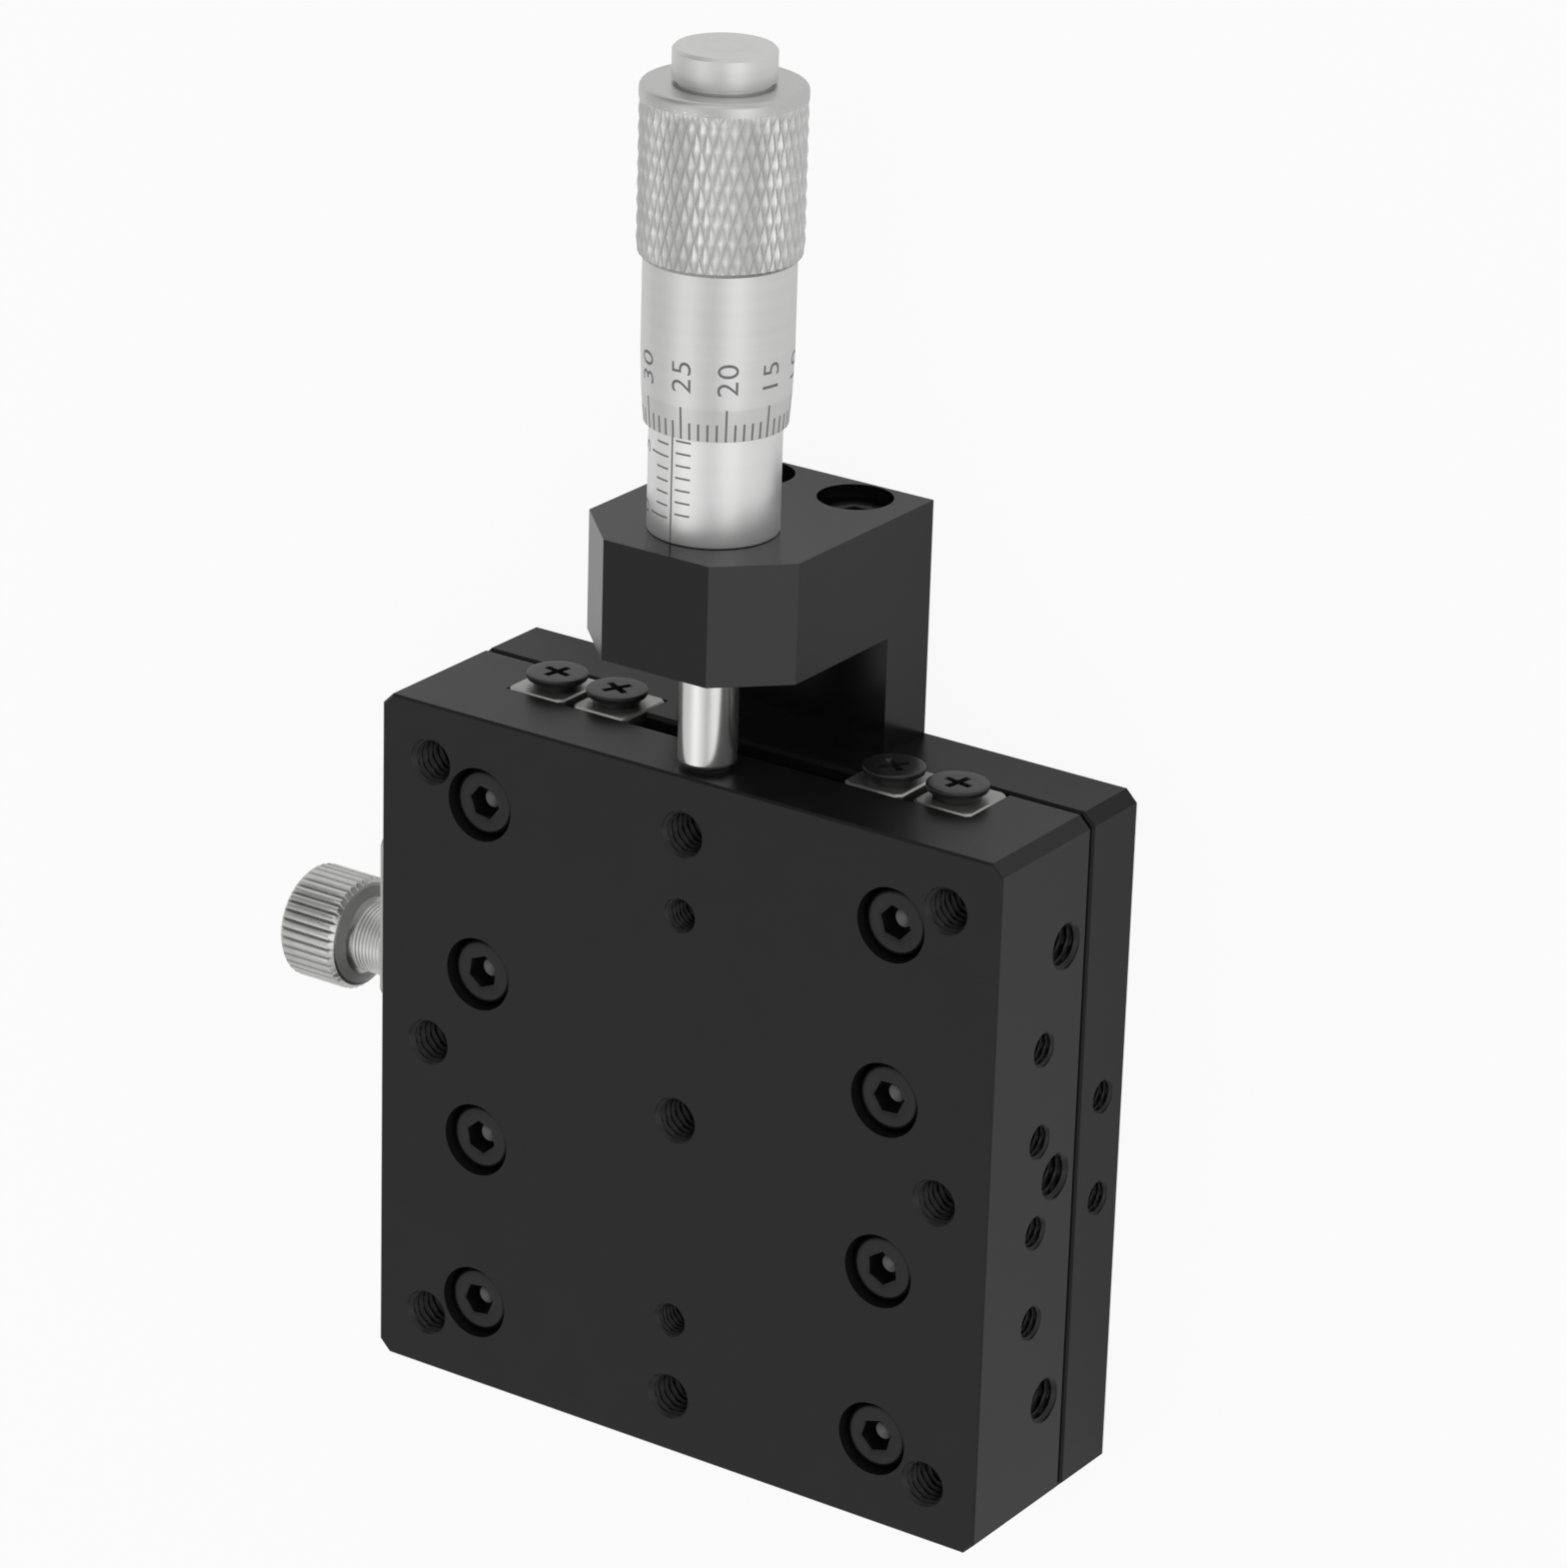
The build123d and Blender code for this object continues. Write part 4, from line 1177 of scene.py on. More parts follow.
        # Cap heads take a darker copy of the black oxide: painted shade.
        pan, cap, slot = "black_oxide_screws", "black_oxide_caps_shaded", "black_oxide_screws"
        outer, inner = "outer_rail_end_screws", "inner_rail_end_screws"
        for name, surface, finish, node, body in (
            ("rail_bolts", self.rail_bolts(), cap, "outer_rail_screws", Body.TABLE),
            ("bracket_bolts", self.bracket_bolts(), cap, "bracket_screws", Body.BASE),
            ("table_pan_screws", self.pans(outer, self.table_pans), pan, outer, Body.TABLE),
            ("base_pan_screws", self.pans(inner, self.base_pans), pan, inner, Body.BASE),
        ):
            workshop.piece(name, surface, finish, slot, node).ride(body)
        # Painted highlight: light steel cones inside the cap screws' sockets.
        sockets = workshop.piece("rail_bolt_socket_glints", self.socket_glint_cones(), "socket_glint_steel", slot)
        sockets.ride(Body.TABLE)
        for name, body, rails in (
            ("table_rail_pads", Body.TABLE, ("outer_rail_left", "outer_rail_right")),
            ("base_rail_pads", Body.BASE, ("inner_rail_left", "inner_rail_right")),
        ):
            workshop.piece(name, self.pads(rails), "rail_end_steel", "rail_steel").ride(body)


def mark_slabs(
    radius_at: RadiusAt,
    starts: np.ndarray,
    ends: np.ndarray,
    angles: np.ndarray,
    widths: np.ndarray,
    columns: int = 3,
    stations: int = 5,
) -> Surface:
    """Thin slabs that follow a turned surface, as the ink of engraved lines.

    Each slab runs from its start to its end along the axis. Round the axis it spans its
    width, and it reaches from a little under the surface to a hair above it.

    Args:
        radius_at: The surface's radius at each height.
        starts: Height where each mark starts.
        ends: Height where each mark ends.
        angles: Angle of each mark's middle in radians.
        widths: Width of each mark, measured round the surface.
        columns: Points across the width.
        stations: Points along the length.

    Returns:
        One surface that holds every slab.
    """
    height = starts[:, None] + (ends - starts)[:, None] * np.linspace(0.0, 1.0, stations)
    across = np.linspace(-0.5, 0.5, columns)
    side = np.concatenate((across, across[::-1]))
    surface_radius = radius_at(height)
    radius = surface_radius[..., None] + np.repeat((INK_PROUD, -INK_SUNK), columns)
    angle = angles[:, None, None] + side * (widths[:, None] / surface_radius)[..., None]
    loop = 2 * columns
    half = np.arange(columns - 1)
    cap = np.stack((half, half + 1, loop - 2 - half, loop - 1 - half), axis=-1)
    skin = grid_faces(stations, loop, False)
    faces = np.concatenate((skin, cap[:, ::-1], cap + (stations - 1) * loop))
    shift = np.arange(len(starts))[:, None, None] * stations * loop
    points = MICROMETER.turn(radius, angle, height[..., None])
    return Surface(points, (faces[None] + shift).reshape(-1, 4))


@dataclass
class Numeral:
    """A short number laid round a turned surface, reading along the axis."""

    text: str
    height: float = 1.7
    size_share: float = 1.41
    width_share: float = 1.12
    spacing: float = 1.08
    thinning: float = 0.012
    curve_steps: int = 4
    strip: float = 0.15
    merge: float = 1e-5

    def flat(self) -> bpy.types.Mesh:
        """The number's filled outline as a flat mesh, its corner at the origin.

        Returns:
            The mesh, which nothing in the scene uses.
        """
        curve = bpy.data.curves.new(f"number_{self.text}", "FONT")
        curve.body = self.text
        curve.size = self.height * self.size_share
        curve.resolution_u = self.curve_steps
        curve.space_character = self.spacing
        curve.offset = -self.thinning
        holder = bpy.data.objects.new(curve.name, curve)
        mesh = bpy.data.meshes.new_from_object(holder)
        bpy.data.objects.remove(holder)
        bpy.data.curves.remove(curve)
        return mesh

    def length(self) -> float:
        """How far the number reaches along the axis.

        Returns:
            The length in millimetres.
        """
        mesh = self.flat()
        across = np.array([vertex.co.x for vertex in mesh.vertices])
        bpy.data.meshes.remove(mesh)
        return float(across.max() - across.min()) * self.width_share

    def surface(self, radius_at: RadiusAt, start: float, angle: float) -> Surface:
        """The number as a thin closed slab on the surface.

        The text's own width runs along the axis from the start, and its height runs round
        the surface, centred on the angle, with the tops of the digits at smaller angles.

        Args:
            radius_at: The surface's radius at each height.
            start: Height where the number starts.
            angle: Angle of the number's middle in radians.

        Returns:
            A closed surface of triangles.
        """
        mesh = self.flat()
        work = bmesh.new()
        work.from_mesh(mesh)
        bpy.data.meshes.remove(mesh)
        for cut in np.arange(self.strip, self.height + self.strip, self.strip):
            everything = work.verts[:] + work.edges[:] + work.faces[:]
            bmesh.ops.bisect_plane(work, geom=everything, plane_co=(0, cut, 0), plane_no=(0, 1, 0))
        bmesh.ops.triangulate(work, faces=work.faces)
        bmesh.ops.remove_doubles(work, verts=work.verts, dist=self.merge)
        made = bmesh.ops.extrude_face_region(work, geom=work.faces[:])["geom"]
        for vertex in (item for item in made if isinstance(item, bmesh.types.BMVert)):
            vertex.co.z = 1.0
        bmesh.ops.triangulate(work, faces=work.faces)
        work.verts.index_update()
        flat = np.array([vertex.co for vertex in work.verts])
        faces = np.array([[vertex.index for vertex in face.verts] for face in work.faces])
        work.free()
        flat, faces = in_order(flat, faces)
        flat[:, 0] -= flat[:, 0].min()
        rows = start + flat[:, 0] * self.width_share
        base_radius = radius_at(rows)
        radius = base_radius - INK_SUNK + flat[:, 2] * (INK_SUNK + INK_PROUD)
        around = angle - (flat[:, 1] - self.height / 2) / base_radius
        return Surface(MICROMETER.turn(radius, around, rows), faces)


@dataclass
class Barrel:
    """Graduated sleeve that stands in the bracket."""

    stem_step: float = 0.5
    stem_bore: float = 2.45
    bore_length: float = 16.0
    nut_step: float = 0.65
    spindle_play: float = 0.05
    foot_round: float = 0.12
    zero_from_foot: float = 2.0
    divisions: int = 13
    line_width: float = 0.15
    line_columns: int = 9
    datum_angle: float = -4.8
    datum_foot_gap: float = 0.05
    datum_end_gap: float = 4.0
    left_start: float = -9.0
    left_end: float = -23.7
    left_long_end: float = -32.7
    right_start: float = -1.0
    right_end: float = 13.4
    numeral_angle: float = -39.5
    numeral_height: float = 1.55

    def sizes(self) -> tuple[float, float, float, float]:
        """Stem's start, sleeve's foot, sleeve's end and sleeve's radius."""
        low, high = node_box("micrometer_barrel")
        return low[1], BRACKET_HIGH[1], high[1], high[0]

    def radius_at(self, height: np.ndarray) -> np.ndarray:
        """Outer radius at each height, the same all along."""
        return np.full(np.shape(height), self.sizes()[3])

    def body(self) -> Surface:
        """Turned sleeve with its stem, bored for the spindle.

        Returns:
            A closed surface.
        """
        start, foot, end, radius = self.sizes()
        stem, neck = radius - self.stem_step, radius - self.nut_step
        nut = node_box("thread_adjusting_nut")[0][1]
        bore, bored = node_box("spindle")[1][0] + self.spindle_play, foot + self.bore_length
        points = [
            (self.stem_bore, start), (stem, start), (stem, foot), (radius, foot), (radius, nut),
            (neck, nut), (neck, end), (bore, end), (bore, bored), (self.stem_bore, bored),
        ]
        return turned(MICROMETER, Outline(points, {3: self.foot_round}))

    def marks(self) -> Surface:
        """Datum line, millimetre lines on its left and half-millimetre lines on its right.

        Returns:
            One surface that holds every line.
        """
        _, foot, end, radius = self.sizes()
        whole = np.arange(self.divisions + 1)
        zero = foot + self.zero_from_foot
        rows = np.concatenate((zero + whole, zero + whole[:-1] + 0.5))
        left = np.where(whole % 5 == 0, self.left_long_end, self.left_end)
        last = np.concatenate((left, np.full(self.divisions, self.right_end)))
        first = np.repeat((self.left_start, self.right_start), (len(left), self.divisions))
        width = np.radians(np.abs(last - first)) * radius
        half = self.line_width / 2
        across = mark_slabs(
            self.radius_at, rows - half, rows + half, np.radians((first + last) / 2), width,
            columns=self.line_columns, stations=2,
        )
        datum = mark_slabs(self.radius_at, *np.array((
            (foot + self.datum_foot_gap,), (end - self.datum_end_gap,),
            (math.radians(self.datum_angle),), (self.line_width,),
        )))
        return joined([across, datum])

    def numerals(self) -> Surface:
        """0, 5 and 10 beside their long lines, reading along the barrel.

        Returns:
            One surface that holds every number.
        """
        _, foot, _, radius = self.sizes()
        made = []
        for value in range(0, self.divisions + 1, 5):
            number = Numeral(str(value), self.numeral_height)
            start = foot + self.zero_from_foot + value - number.length() / 2
            angle = math.radians(self.numeral_angle) - number.height / 2 / radius
            made.append(number.surface(self.radius_at, start, angle))
        return joined(made)

    def build(self, workshop: Workshop) -> None:
        """Builds the sleeve, its lines and its numbers on the base.

        Args:
            workshop: Gives each piece its material.
        """
        ink, black = "mark_ink", "black_oxide_screws"
        for piece in (
            workshop.piece("barrel", self.body(), "satin_barrel", "satin_chrome",
                           "micrometer_barrel"),
            workshop.piece("barrel_lines", self.marks(), ink, black),
            workshop.piece("barrel_numbers", self.numerals(), ink, black),
        ):
            piece.ride(Body.BASE)


@dataclass
class ThimbleSleeve:
    """Graduated tube that turns over the barrel."""

    rim_wall: float = 0.13
    bevel_wall: float = 0.33
    wall: float = 0.45
    bevel_length: float = 2.6
    taper_length: float = 3.5
    bore_round: float = 0.03
    rim_round: float = 0.04
    segments: int = 200
    divisions: int = 50
    line_width: float = 0.17
    short_line: float = 1.42
    long_line: float = 2.65
    line_start: float = 0.03
    line_stations: int = 8
    reading_angle: float = 6.45
    reading_division: int = 25
    number_start: float = 3.87
    number_end: float = 6.3

    def sizes(self) -> tuple[float, float, float, float]:
        """Rim, top, outer radius and bore radius."""
        low, high = node_box("thimble_sleeve")
        return low[1], high[1], high[0], high[0] - self.wall

    def radius_at(self, height: np.ndarray) -> np.ndarray:
        """Outer radius at each height: bevel, slighter taper, then a plain cylinder.

        Args:
            height: Heights along the axis.

        Returns:
            One radius per height.
        """
        rim, _, radius, bore = self.sizes()
        rows = (rim, rim + self.bevel_length, rim + self.bevel_length + self.taper_length)
        return np.interp(height, rows, (bore + self.rim_wall, bore + self.bevel_wall, radius))

    def bevel(self) -> Surface:
        """Turned ring at the rim that carries the lines.

        Returns:
            A closed surface.
        """
        rim, _, _, bore = self.sizes()
        end = rim + self.bevel_length
        points = [
            (bore, rim), (bore + self.rim_wall, rim), (bore + self.bevel_wall, end), (bore, end),
        ]
        rounds = {0: self.bore_round, 1: self.rim_round}
        return turned(MICROMETER, Outline(points, rounds), self.segments)

    def body(self) -> Surface:
        """Turned tube above the bevel, whose outside follows the taper.

        Returns:
            A closed surface.
        """
        rim, top, radius, bore = self.sizes()
        bevel = rim + self.bevel_length
        points = [
            (bore, bevel), (bore + self.bevel_wall, bevel), (radius, bevel + self.taper_length),
            (radius, top), (bore, top),
        ]
        return turned(MICROMETER, Outline(points), self.segments)

    def angle(self, division: np.ndarray | int) -> np.ndarray | float:
        """Angle of a division in radians at rest."""
        step = 360 / self.divisions
        return np.radians(self.reading_angle - (division - self.reading_division) * step)

    def marks(self) -> Surface:
        """Fifty lines from the rim, every fifth one longer.

        Returns:
            One surface that holds every line.
        """
        rim = self.sizes()[0]
        number = np.arange(self.divisions)
        ends = rim + np.where(number % 5 == 0, self.long_line, self.short_line)
        starts = np.full(self.divisions, rim + self.line_start)
        widths = np.full(self.divisions, self.line_width)
        return mark_slabs(
            self.radius_at, starts, ends, self.angle(number), widths, stations=self.line_stations
        )

    def numerals(self) -> Surface:
        """0 to 45 in fives beyond the long lines, reading along the thimble.

        Returns:
            One surface that holds every number.
        """
        middle = self.sizes()[0] + (self.number_start + self.number_end) / 2
        made = []
        for value in range(0, self.divisions, 5):
            number = Numeral(str(value))
            start = middle - number.length() / 2
            made.append(number.surface(self.radius_at, start, self.angle(value)))
        return joined(made)

    def build(self, workshop: Workshop) -> None:
        """Builds the tube, its lines and its numbers on the thimble.

        Args:
            workshop: Gives each piece its material.
        """
        ink, black = "mark_ink", "black_oxide_screws"
        for piece in (
            workshop.piece("thimble_tube", self.body(), "satin_chrome", "satin_chrome",
                           "thimble_sleeve"),
            # The bevel wears a darker copy of the satin chrome: painted shade.
            workshop.piece("thimble_bevel", self.bevel(), "satin_chrome_bevel_shade", "satin_chrome"),
            workshop.piece("thimble_lines", self.marks(), ink, black),
            workshop.piece("thimble_numbers", self.numerals(), ink, black),
        ):
            piece.ride(Body.THIMBLE)


@dataclass
class Grip:
    """Knurled cap over the thimble's upper half, with its small end cap."""

    diamonds: int = 46
    diamond_length: float = 2.88
    groove_depth: float = KNURL_DEPTH
    samples: int = 8
    end_margin: float = 0.6
    fade: float = 1.3
    chamfer: float = 0.5
    sharp_degrees: float = 20.0
    sleeve_gap: float = 0.01
    top_overlap: float = 0.5
    top_inset: float = 0.01
    top_bore: float = 2.6
    top_round: float = 0.5
    cap_undercut_depth: float = 0.4
    cap_undercut_height: float = 0.3
    cap_chamfer: float = 0.25
    cap_foot_round: float = 0.05
    cap_edge_round: float = 0.04
    dish_rim: float = 1.2
    dish_floor: float = 1.0
    dish_depth: float = 0.04

    def sizes(self) -> tuple[float, float, float, float, float]:
        """Sizes that the grip takes over from the solids.

        Returns:
            Start and end of the knurl, its radius, its bore and the grip's top.
        """
        low, high = node_box("thimble_grip")
        bore = node_box("thimble_sleeve")[1][0] + self.sleeve_gap
        return low[1], high[1] - self.end_margin, high[0], bore, high[1]

    def surface(self) -> Surface:
        """The knurled sleeve as a closed ring.

        Grooves run both ways round at equal steps. The radius is the outer radius less the
        groove depth times one minus the smaller of two triangle waves, cut by the start's
        chamfer. The depth fades out towards the shoulder. Quads are split along the nearer
        groove, so that both sets stay crisp.

        Returns:
            A closed surface of triangles.
        """
        start, end, radius, bore, _ = self.sizes()
        columns = self.diamonds * self.samples
        angle = even_turn(columns)
        knurled = np.arange(start, end, self.diamond_length / self.samples)
        turns = self.diamonds * angle[None, :] / math.tau
        travel = (knurled[:, None] - start) / self.diamond_length
        first, second = triangle_wave(turns + travel), triangle_wave(turns - travel)
        fade = np.clip((end - knurled) / self.fade, 0.0, 1.0)[:, None]
        depth = self.groove_depth * (1 - np.minimum(first, second)) * fade
        slope = (knurled - start)[:, None] + radius - self.chamfer
        knurl = np.minimum(radius - depth, slope)
        rows = np.concatenate((knurled, (knurled[-1], start)))
        made = MICROMETER.skin(np.concatenate((knurl, np.full((2, columns), bore))), angle, rows)
        near_first = np.zeros((len(rows), columns), bool)
        near_first[: len(knurled)] = first < second
        return Surface(made.points, split_quads(made.faces, near_first.reshape(-1)))

    def plain(self) -> Surface:
        """Turned ring above the knurl, with a soft shoulder and the flat top.

        Returns:
            A closed surface.
        """
        _, knurl_end, radius, bore, end = self.sizes()
        start, outside = knurl_end - self.top_overlap, radius - self.top_inset
        thimble_top = node_box("thimble_sleeve")[1][1]
        points = [
            (bore, start), (outside, start), (outside, end), (self.top_bore, end),
            (self.top_bore, thimble_top), (bore, thimble_top),
        ]
        return turned(MICROMETER, Outline(points, {2: self.top_round}))

    def cap(self) -> Surface:
        """Turned end cap with an undercut foot, a chamfered rim and a shallow middle dish.

        Returns:
            A closed surface.
        """
        low, high = node_box("thimble_end_cap")
        start, end, radius = low[1], high[1], high[0]
        foot, shelf = radius - self.cap_undercut_depth, start + self.cap_undercut_height
        floor = end - self.dish_depth
        points = [
            (0.0, start), (foot, start), (foot, shelf), (radius, shelf),
            (radius, end - self.cap_chamfer), (radius - self.cap_chamfer, end),
            (self.dish_rim, end), (self.dish_floor, floor), (0.0, floor),
        ]
        rounds = {3: self.cap_foot_round, 4: self.cap_edge_round, 5: self.cap_edge_round}
        return turned(MICROMETER, Outline(points, rounds))

    def build(self, workshop: Workshop) -> None:
        """Builds the grip and the end cap on the thimble.

        Args:
            workshop: Gives each piece its material.
        """
        chrome = "satin_chrome"
        for piece in (
            # The knurl's finish paints shade into its grooves.
            workshop.piece("grip", self.surface(), "knurled_chrome", chrome, "thimble_grip",
                           sharp_degrees=self.sharp_degrees),
            workshop.piece("grip_top", self.plain(), "satin_shoulder", chrome),
            workshop.piece("end_cap", self.cap(), "turned_cap", chrome, "thimble_end_cap"),
        ):
            piece.ride(Body.THIMBLE)


@dataclass
class Spindle:
    """Ground spindle with its thread inside the barrel."""

    radius: float = 2.4
    tip_round: float = 0.4
    plain_length: float = 29.0
    thread_depth: float = 0.3
    thread_end_gap: float = 0.68
    pitch: float = 0.5
    stud_radius: float = 2.5
    bolt_radius: float = 1.5
    rows_per_turn: int = 6
    segments: int = 96

    def surface(self) -> Surface:
        """Plain shaft, thread and stud as one closed surface.

        The thread's radius is the outer radius less a triangle wave of height over pitch
        less angle over a full turn.

        Returns:
            A closed surface.
        """
        low, high = node_box("spindle")
        tip, end, outer = low[1], high[1], high[0]
        thread_start = tip + self.plain_length
        thread_end = node_box("thimble_sleeve")[1][1] - self.thread_end_gap
        grip_top = node_box("thimble_grip")[1][1]
        angle = even_turn(self.segments)
        turns = (thread_end - thread_start) / self.pitch
        rows = np.linspace(thread_start, thread_end, round(turns * self.rows_per_turn))
        wave = triangle_wave(rows[:, None] / self.pitch - angle[None, :] / math.tau)
        plain = Outline(
            [(0.0, tip), (self.radius, tip), (self.radius, thread_start)], {1: self.tip_round}
        ).drawn()
        stud = np.array((
            (self.stud_radius, thread_end), (self.stud_radius, grip_top),
            (self.bolt_radius, grip_top), (self.bolt_radius, end), (0.0, end),
        ))
        radius = np.concatenate((
            all_round(plain[:, 0], self.segments), outer - self.thread_depth * wave,
            all_round(stud[:, 0], self.segments),
        ))
        height = np.concatenate((plain[:, 1], rows, stud[:, 1]))
        return MICROMETER.skin(radius, angle, height, False)

    def build(self, workshop: Workshop) -> None:
        """Builds the spindle on the thimble.

        Args:
            workshop: Gives each piece its material.
        """
        steel = "ground_steel"
        shaft = workshop.piece("spindle_shaft", self.surface(), steel, steel, "spindle")
        shaft.ride(Body.THIMBLE)


@dataclass
class ClampScrew:
    """Thumb screw with a fluted knob and a turned neck."""

    flutes: int = 38
    flute_depth: float = 0.4
    groove_steepness: float = 2.6
    rib_crown: float = 0.15
    knob_width: float = 5.6
    knob_chamfer: float = 0.4
    chamfer_rows: int = 6
    front_dish: tuple[tuple[float, float], ...] = ((0.0, 0.25), (2.2, 0.25), (2.4, 0.05))
    front_rim: float = 0.55
    back_rim: float = 0.25
    collar_radius: float = 3.35
    collar_length: float = 0.7
    collar_drop: float = 0.3
    collar_foot_flare: float = 0.12
    collar_foot_gap: float = 0.15
    neck_radius: float = 3.0
    neck_length: float = 4.4
    neck_plain: float = 0.3
    neck_chamfer: float = 0.25
    ring_pitch: float = 0.36
    ring_depth: float = 0.035
    ring_rows: int = 6
    shank_radius: float = 1.45
    shank_chamfer: float = 0.3
    face_inset: float = 0.27
    face_skin: float = 0.02
    samples: int = 12

    def knob(self, angle: np.ndarray) -> tuple[np.ndarray, np.ndarray]:
        """The fluted knob.

        The radius is the outer radius less the flute depth times one minus a triangle wave
        with nearly flat tops, cut by the chamfers at both ends.

        Args:
            angle: Angle of each column in radians.

        Returns:
            Radius per row and column, and height per row.
        """
        near, far = self.knob_chamfer, self.knob_width - self.knob_chamfer
        rows = np.concatenate((
            np.linspace(0.0, near, self.chamfer_rows), np.linspace(near, far, 4)[1:-1],
            np.linspace(far, self.knob_width, self.chamfer_rows),
        ))
        wave = triangle_wave(self.flutes * angle / math.tau)
        crown = 1 - self.rib_crown + self.rib_crown * wave
        rib = np.minimum(wave * self.groove_steepness, crown)
        slope = np.minimum(rows, self.knob_width - rows)[:, None] + CLAMP_RADIUS - near
        return np.minimum(CLAMP_RADIUS - self.flute_depth * (1 - rib)[None, :], slope), rows

    def neck(self) -> list[tuple[float, float]]:
        """Radius and height from the knob's back to the shank's end.

        The neck's radius falls by a squared sine of height over the ring pitch.

        Returns:
            Radius and height per point.
        """
        end = CLAMP_HIGH[0] - CLAMP_LOW[0]
        start, stop = self.knob_width + self.collar_length, self.knob_width + self.neck_length
        rows = np.arange(start, stop - self.neck_plain, self.ring_pitch / self.ring_rows)
        rings = self.ring_depth * np.sin(math.pi * rows / self.ring_pitch) ** 2
        return [
            (CLAMP_RADIUS - self.knob_chamfer - self.back_rim, self.knob_width),
            (self.collar_radius, start - self.collar_drop),
            (self.neck_radius + self.collar_foot_flare, start - self.collar_foot_gap),
            *zip(self.neck_radius - rings, rows),
            (self.neck_radius, stop - self.neck_chamfer),
            (self.neck_radius - self.neck_chamfer, stop),
            (self.shank_radius, stop),
            (self.shank_radius, end - self.shank_chamfer),
            (self.shank_radius - self.shank_chamfer, end),
            (0.0, end),
        ]

    def surface(self) -> Surface:
        """The whole screw as one closed surface round the clamp's axis.

        Returns:
            A closed surface.
        """
        angle = even_turn(self.flutes * self.samples)
        knob, knob_rows = self.knob(angle)
        rim = CLAMP_RADIUS - self.knob_chamfer - self.front_rim
        front, back = np.array((*self.front_dish, (rim, 0.0))), np.array(self.neck())
        radius = np.concatenate((
            all_round(front[:, 0], len(angle)), knob, all_round(back[:, 0], len(angle)),
        ))
        height = np.concatenate((front[:, 1], knob_rows, back[:, 1]))
        return CLAMP_AXIS.skin(radius, angle, height, False)

    def inner_face(self) -> Surface:
        """Thin turned ring over the knob's conical face beside the neck.

        Returns:
            A closed surface.
        """
        edge = CLAMP_RADIUS - self.knob_chamfer - self.face_inset
        start, skin = self.knob_width, self.face_skin
        end = start + self.collar_length - self.collar_drop
        points = [
            (edge, start), (edge, start + skin), (self.collar_radius + skin, end + skin),
            (self.collar_radius, end),
        ]
        return turned(CLAMP_AXIS, Outline(points))

    def build(self, workshop: Workshop) -> None:
        """Builds the screw on the clamp's body.

        Args:
            workshop: Gives each piece its material.
        """
        steel = "clamp_steel"
        for piece in (
            workshop.piece("thumb_screw_face", self.inner_face(), "clamp_face_steel", steel),
            workshop.piece("thumb_screw", self.surface(), steel, steel, "clamp_screw"),
        ):
            piece.ride(Body.CLAMP)


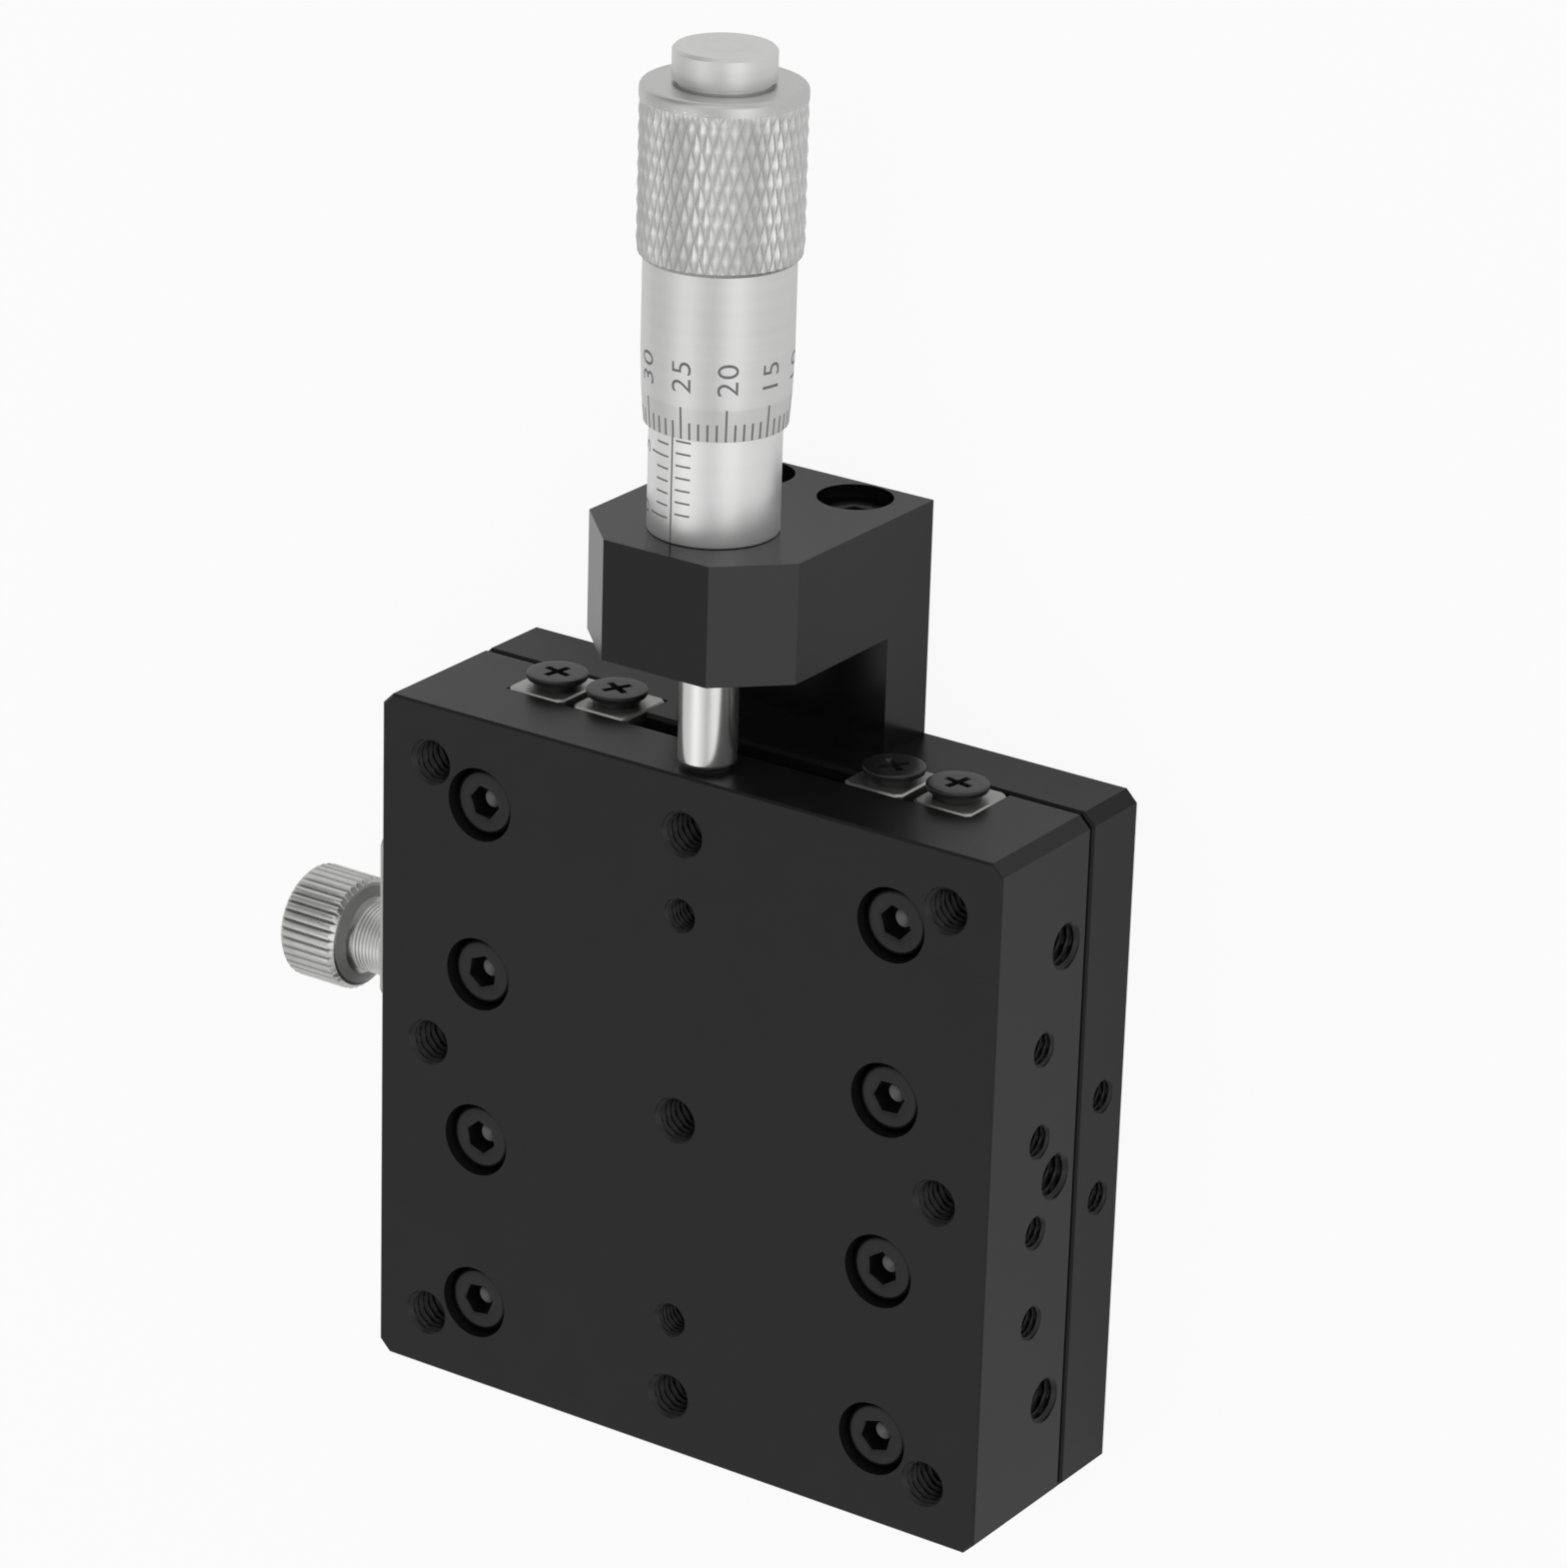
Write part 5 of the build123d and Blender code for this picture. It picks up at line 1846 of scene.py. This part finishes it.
@dataclass
class ReturnSpring:
    """Extension spring of round wire between its two pins."""

    coil_radius: float = 2.1
    wire: float = 0.45
    bend_radius: float = 0.7
    leg: float = 2.0
    hook_play: float = 0.1
    coils: int = 12
    coil_samples: int = 28
    bend_samples: int = 8
    hook_samples: int = 20
    section_samples: int = 10

    def pins(self) -> tuple[float, float, float]:
        """Where the spring is hooked on.

        Returns:
            Y of the base pin and of the table pin, and the pins' radius.
        """
        low, high = node_box("base_spring_pin")
        table_low, table_high = node_box("table_spring_pin")
        return (low[1] + high[1]) / 2, (table_low[1] + table_high[1]) / 2, (high[0] - low[0]) / 2

    def path(self) -> tuple[np.ndarray, np.ndarray]:
        """Middle line of the wire and a direction across it, hook to hook.

        The coils are a helix round Y. At its end the wire bends into the Y direction on an
        arc, runs straight, and closes in a half circle round the pin. The other end is the
        same, turned half a turn about X.

        Returns:
            Points and unit directions, one per row.
        """
        base_pin, table_pin, pin_radius = self.pins()
        reach = self.coil_radius - self.wire / 2 - pin_radius - self.hook_play
        half = (base_pin - table_pin) / 2 - self.bend_radius - self.leg - reach
        climb = math.atan(2 * half / self.coils / (math.tau * self.coil_radius))
        turn = np.linspace(0.0, self.coils * math.tau, self.coils * self.coil_samples + 1)
        across = np.stack((np.cos(turn), np.zeros_like(turn), -np.sin(turn)), axis=-1)
        helix = self.coil_radius * across
        helix[:, 1] = np.linspace(-half, half, len(turn))
        lean = np.linspace(climb, math.pi / 2, self.bend_samples)[1:]
        bend = np.stack((
            np.full_like(lean, self.coil_radius),
            -half + self.bend_radius * (np.cos(lean) - math.cos(climb)),
            self.bend_radius * (np.sin(lean) - math.sin(climb)),
        ), axis=-1)
        loop_turn = np.linspace(0.0, math.pi, self.hook_samples)
        loop_across = np.stack(
            (np.cos(loop_turn), -np.sin(loop_turn), np.zeros_like(loop_turn)), axis=-1
        )
        loop = bend[-1] * (0.0, 1.0, 1.0) - (0.0, self.leg, 0.0) + self.coil_radius * loop_across
        hook = np.concatenate((bend, loop))[::-1]
        hook_across = np.concatenate((np.tile(RIGHT, (len(bend), 1)), loop_across))[::-1]
        flip = np.array((1.0, -1.0, -1.0))
        points = np.concatenate((hook, helix, (hook * flip)[::-1]))
        directions = np.concatenate((hook_across, across, (hook_across * flip)[::-1]))
        low, high = node_box("return_spring")
        middle = np.array((0.0, (base_pin + table_pin) / 2, (low[2] + high[2]) / 2))
        return points + middle, directions

    def surface(self) -> Surface:
        """Round section carried along the path, closed at both ends.

        Returns:
            A closed surface: each ring is the path's point plus the wire's radius times
            cosine and sine along the direction across and the one square to it.
        """
        path, across = self.path()
        along = np.gradient(path, axis=0)
        along /= np.linalg.norm(along, axis=1, keepdims=True)
        square = np.cross(along, across)
        square /= np.linalg.norm(square, axis=1, keepdims=True)
        angle = even_turn(self.section_samples)[None, :, None]
        ring = np.cos(angle) * across[:, None, :] + np.sin(angle) * square[:, None, :]
        rings = path[:, None, :] + self.wire / 2 * ring
        start, end = (
            np.tile(point, (1, self.section_samples, 1)) for point in (path[0], path[-1])
        )
        points = np.concatenate((start, rings, end)).reshape(-1, 3)
        return Surface(points, grid_faces(len(path) + 2, self.section_samples, False))

    def build(self, workshop: Workshop) -> None:
        """Builds the spring between the base's pin and the table's pin, on neither body.

        Args:
            workshop: Gives each piece its material.
        """
        wire = "spring_wire"
        piece = workshop.piece("wire_spring", self.surface(), wire, wire, "return_spring").build()
        height = self.path()[0][:, 2].mean()
        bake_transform(piece)
        LOG.info("wire_spring: %d faces from base to table", len(piece.data.polygons))


@dataclass(frozen=True)
class Lobe:
    """A soft bright patch of the tent: how bright, where and how tight."""

    strength: float
    direction: tuple[float, float, float]
    tightness: float


@dataclass
class Studio:
    """White floor, light tent and camera."""

    floor_size: float = 6.0
    floor_drop: float = 0.00005
    floor_color: tuple[float, float, float, float] = (0.82, 0.82, 0.82, 1.0)
    floor_white: float = 0.92
    floor_sheen: float = 0.4
    tent: float = 0.62
    lobes: tuple[Lobe, ...] = (
        Lobe(0.5, (-0.24, -0.374, 0.896), 16.0),
        Lobe(0.75, (0.87, -0.05, 0.49), 10.0),
        Lobe(-0.32, (0.48, -0.374, 0.793), 60.0),
        Lobe(0.35, (0.16, 0.8, 0.58), 12.0),
        Lobe(-0.35, (-0.51, 0.66, 0.55), 8.0),
        Lobe(0.3, (-0.1, 0.37, 0.92), 24.0),
    )
    place: tuple[float, float, float] = (262.1328, 215.2090, 398.8971)
    view: tuple[float, float, float] = (-0.514411, -0.373685, -0.771842)
    image_right: tuple[float, float, float] = (0.825389, 0.028403, -0.563850)
    focal_pixels: float = 6284.93
    image_pixels: float = 1569.0
    sensor: float = 36.0
    clip_start: float = 0.01
    clip_end: float = 50.0

    def camera(self) -> None:
        """Camera at the photograph's viewing angle, made the scene's own."""
        data = bpy.data.cameras.new("camera")
        data.sensor_fit = "HORIZONTAL"
        data.sensor_width = self.sensor
        data.lens = self.focal_pixels * self.sensor / self.image_pixels
        data.clip_start, data.clip_end = self.clip_start, self.clip_end
        back, side = unit(-np.array(self.view)), np.array(self.image_right)
        side = unit(side - back * (side @ back))
        turn = np.eye(4)
        turn[:3, 0], turn[:3, 1], turn[:3, 2] = side, np.cross(back, side), back
        turn[:3, 3] = np.array(self.place) * MM
        camera = linked("camera", data)
        camera.matrix_world = Matrix(turn.tolist())
        bpy.context.scene.camera = camera

    def seen_directly(self, nodes: Nodes) -> bpy.types.NodeSocket:
        """How white a ray sees the floor: most for the camera, less for gloss, none for light.

        Args:
            nodes: The floor material's tree.

        Returns:
            A socket with the share of white.
        """
        path = nodes.add("ShaderNodeLightPath").outputs
        shares = [nodes.math("MULTIPLY", path[name], share) for name, share in (
            ("Is Camera Ray", self.floor_white),
            ("Is Glossy Ray", self.floor_sheen),
            ("Is Transmission Ray", self.floor_white),
        )]
        return reduce(partial(nodes.math, "MAXIMUM"), shares)

    def floor(self) -> None:
        """Large pale floor that looks white and keeps the stage's soft shadow."""
        half, level = self.floor_size / 2, -self.floor_drop
        corners = [(-half, -half, level), (half, -half, level), (half, half, level),
                   (-half, half, level)]
        mesh = bpy.data.meshes.new("floor")
        mesh.from_pydata(corners, [], [(0, 1, 2, 3)])
        material = bpy.data.materials.new("floor")
        material.use_nodes = True
        nodes = Nodes(material.node_tree)
        nodes.tree.nodes.clear()
        paper = nodes.add("ShaderNodeBsdfDiffuse", {"Color": self.floor_color})
        white = nodes.add("ShaderNodeEmission")
        mix = nodes.add("ShaderNodeMixShader", {
            0: self.seen_directly(nodes), 1: paper.outputs[0], 2: white.outputs[0],
        })
        nodes.add("ShaderNodeOutputMaterial", {"Surface": mix.outputs[0]})
        mesh.materials.append(material)
        linked("floor", mesh)

    def light_tent(self) -> None:
        """World that is white to the camera and lights the stage as a tent with soft lobes.

        A lobe adds its strength times the cosine between the ray and its direction, raised
        to its tightness.
        """
        world = bpy.data.worlds.new("light_tent")
        world.use_nodes = True
        nodes = Nodes(world.node_tree)
        nodes.tree.nodes.clear()
        ray = nodes.add("ShaderNodeTexCoord").outputs["Generated"]
        total = self.tent
        for lobe in self.lobes:
            inputs = {0: ray, 1: lobe.direction}
            dot = nodes.add("ShaderNodeVectorMath", inputs, operation="DOT_PRODUCT")
            value = nodes.math("MAXIMUM", dot.outputs["Value"], 0.0)
            value = nodes.math("POWER", value, lobe.tightness)
            value = nodes.math("MULTIPLY", value, lobe.strength)
            total = nodes.math("ADD", value, total)
        glow = nodes.add("ShaderNodeBackground", {"Color": WHITE, "Strength": total})
        white = nodes.add("ShaderNodeBackground", {"Color": WHITE})
        path = nodes.add("ShaderNodeLightPath")
        mix = nodes.add("ShaderNodeMixShader", {
            0: path.outputs["Is Camera Ray"], 1: glow.outputs[0], 2: white.outputs[0],
        })
        nodes.add("ShaderNodeOutputWorld", {"Surface": mix.outputs[0]})
        bpy.context.scene.world = world

    def build(self) -> None:
        """Sets the floor, the tent, the camera and the plain view transform."""
        self.floor()
        self.light_tent()
        self.camera()
        bpy.context.scene.view_settings.view_transform = "Standard"


def main() -> None:
    """Builds every sub-assembly in order, then the studio."""
    logging.basicConfig(level=logging.INFO, format="%(message)s")
    workshop = Workshop()
    workshop.prepare()
    workshop.dress_nodes()
    for assembly in (
        TappedHoles(), Fasteners(), Barrel(), ThimbleSleeve(), Grip(), Spindle(), ClampScrew(),
        ReturnSpring(),
    ):
        assembly.build(workshop)
    Studio().build()


if __name__ == "__main__":
    main()
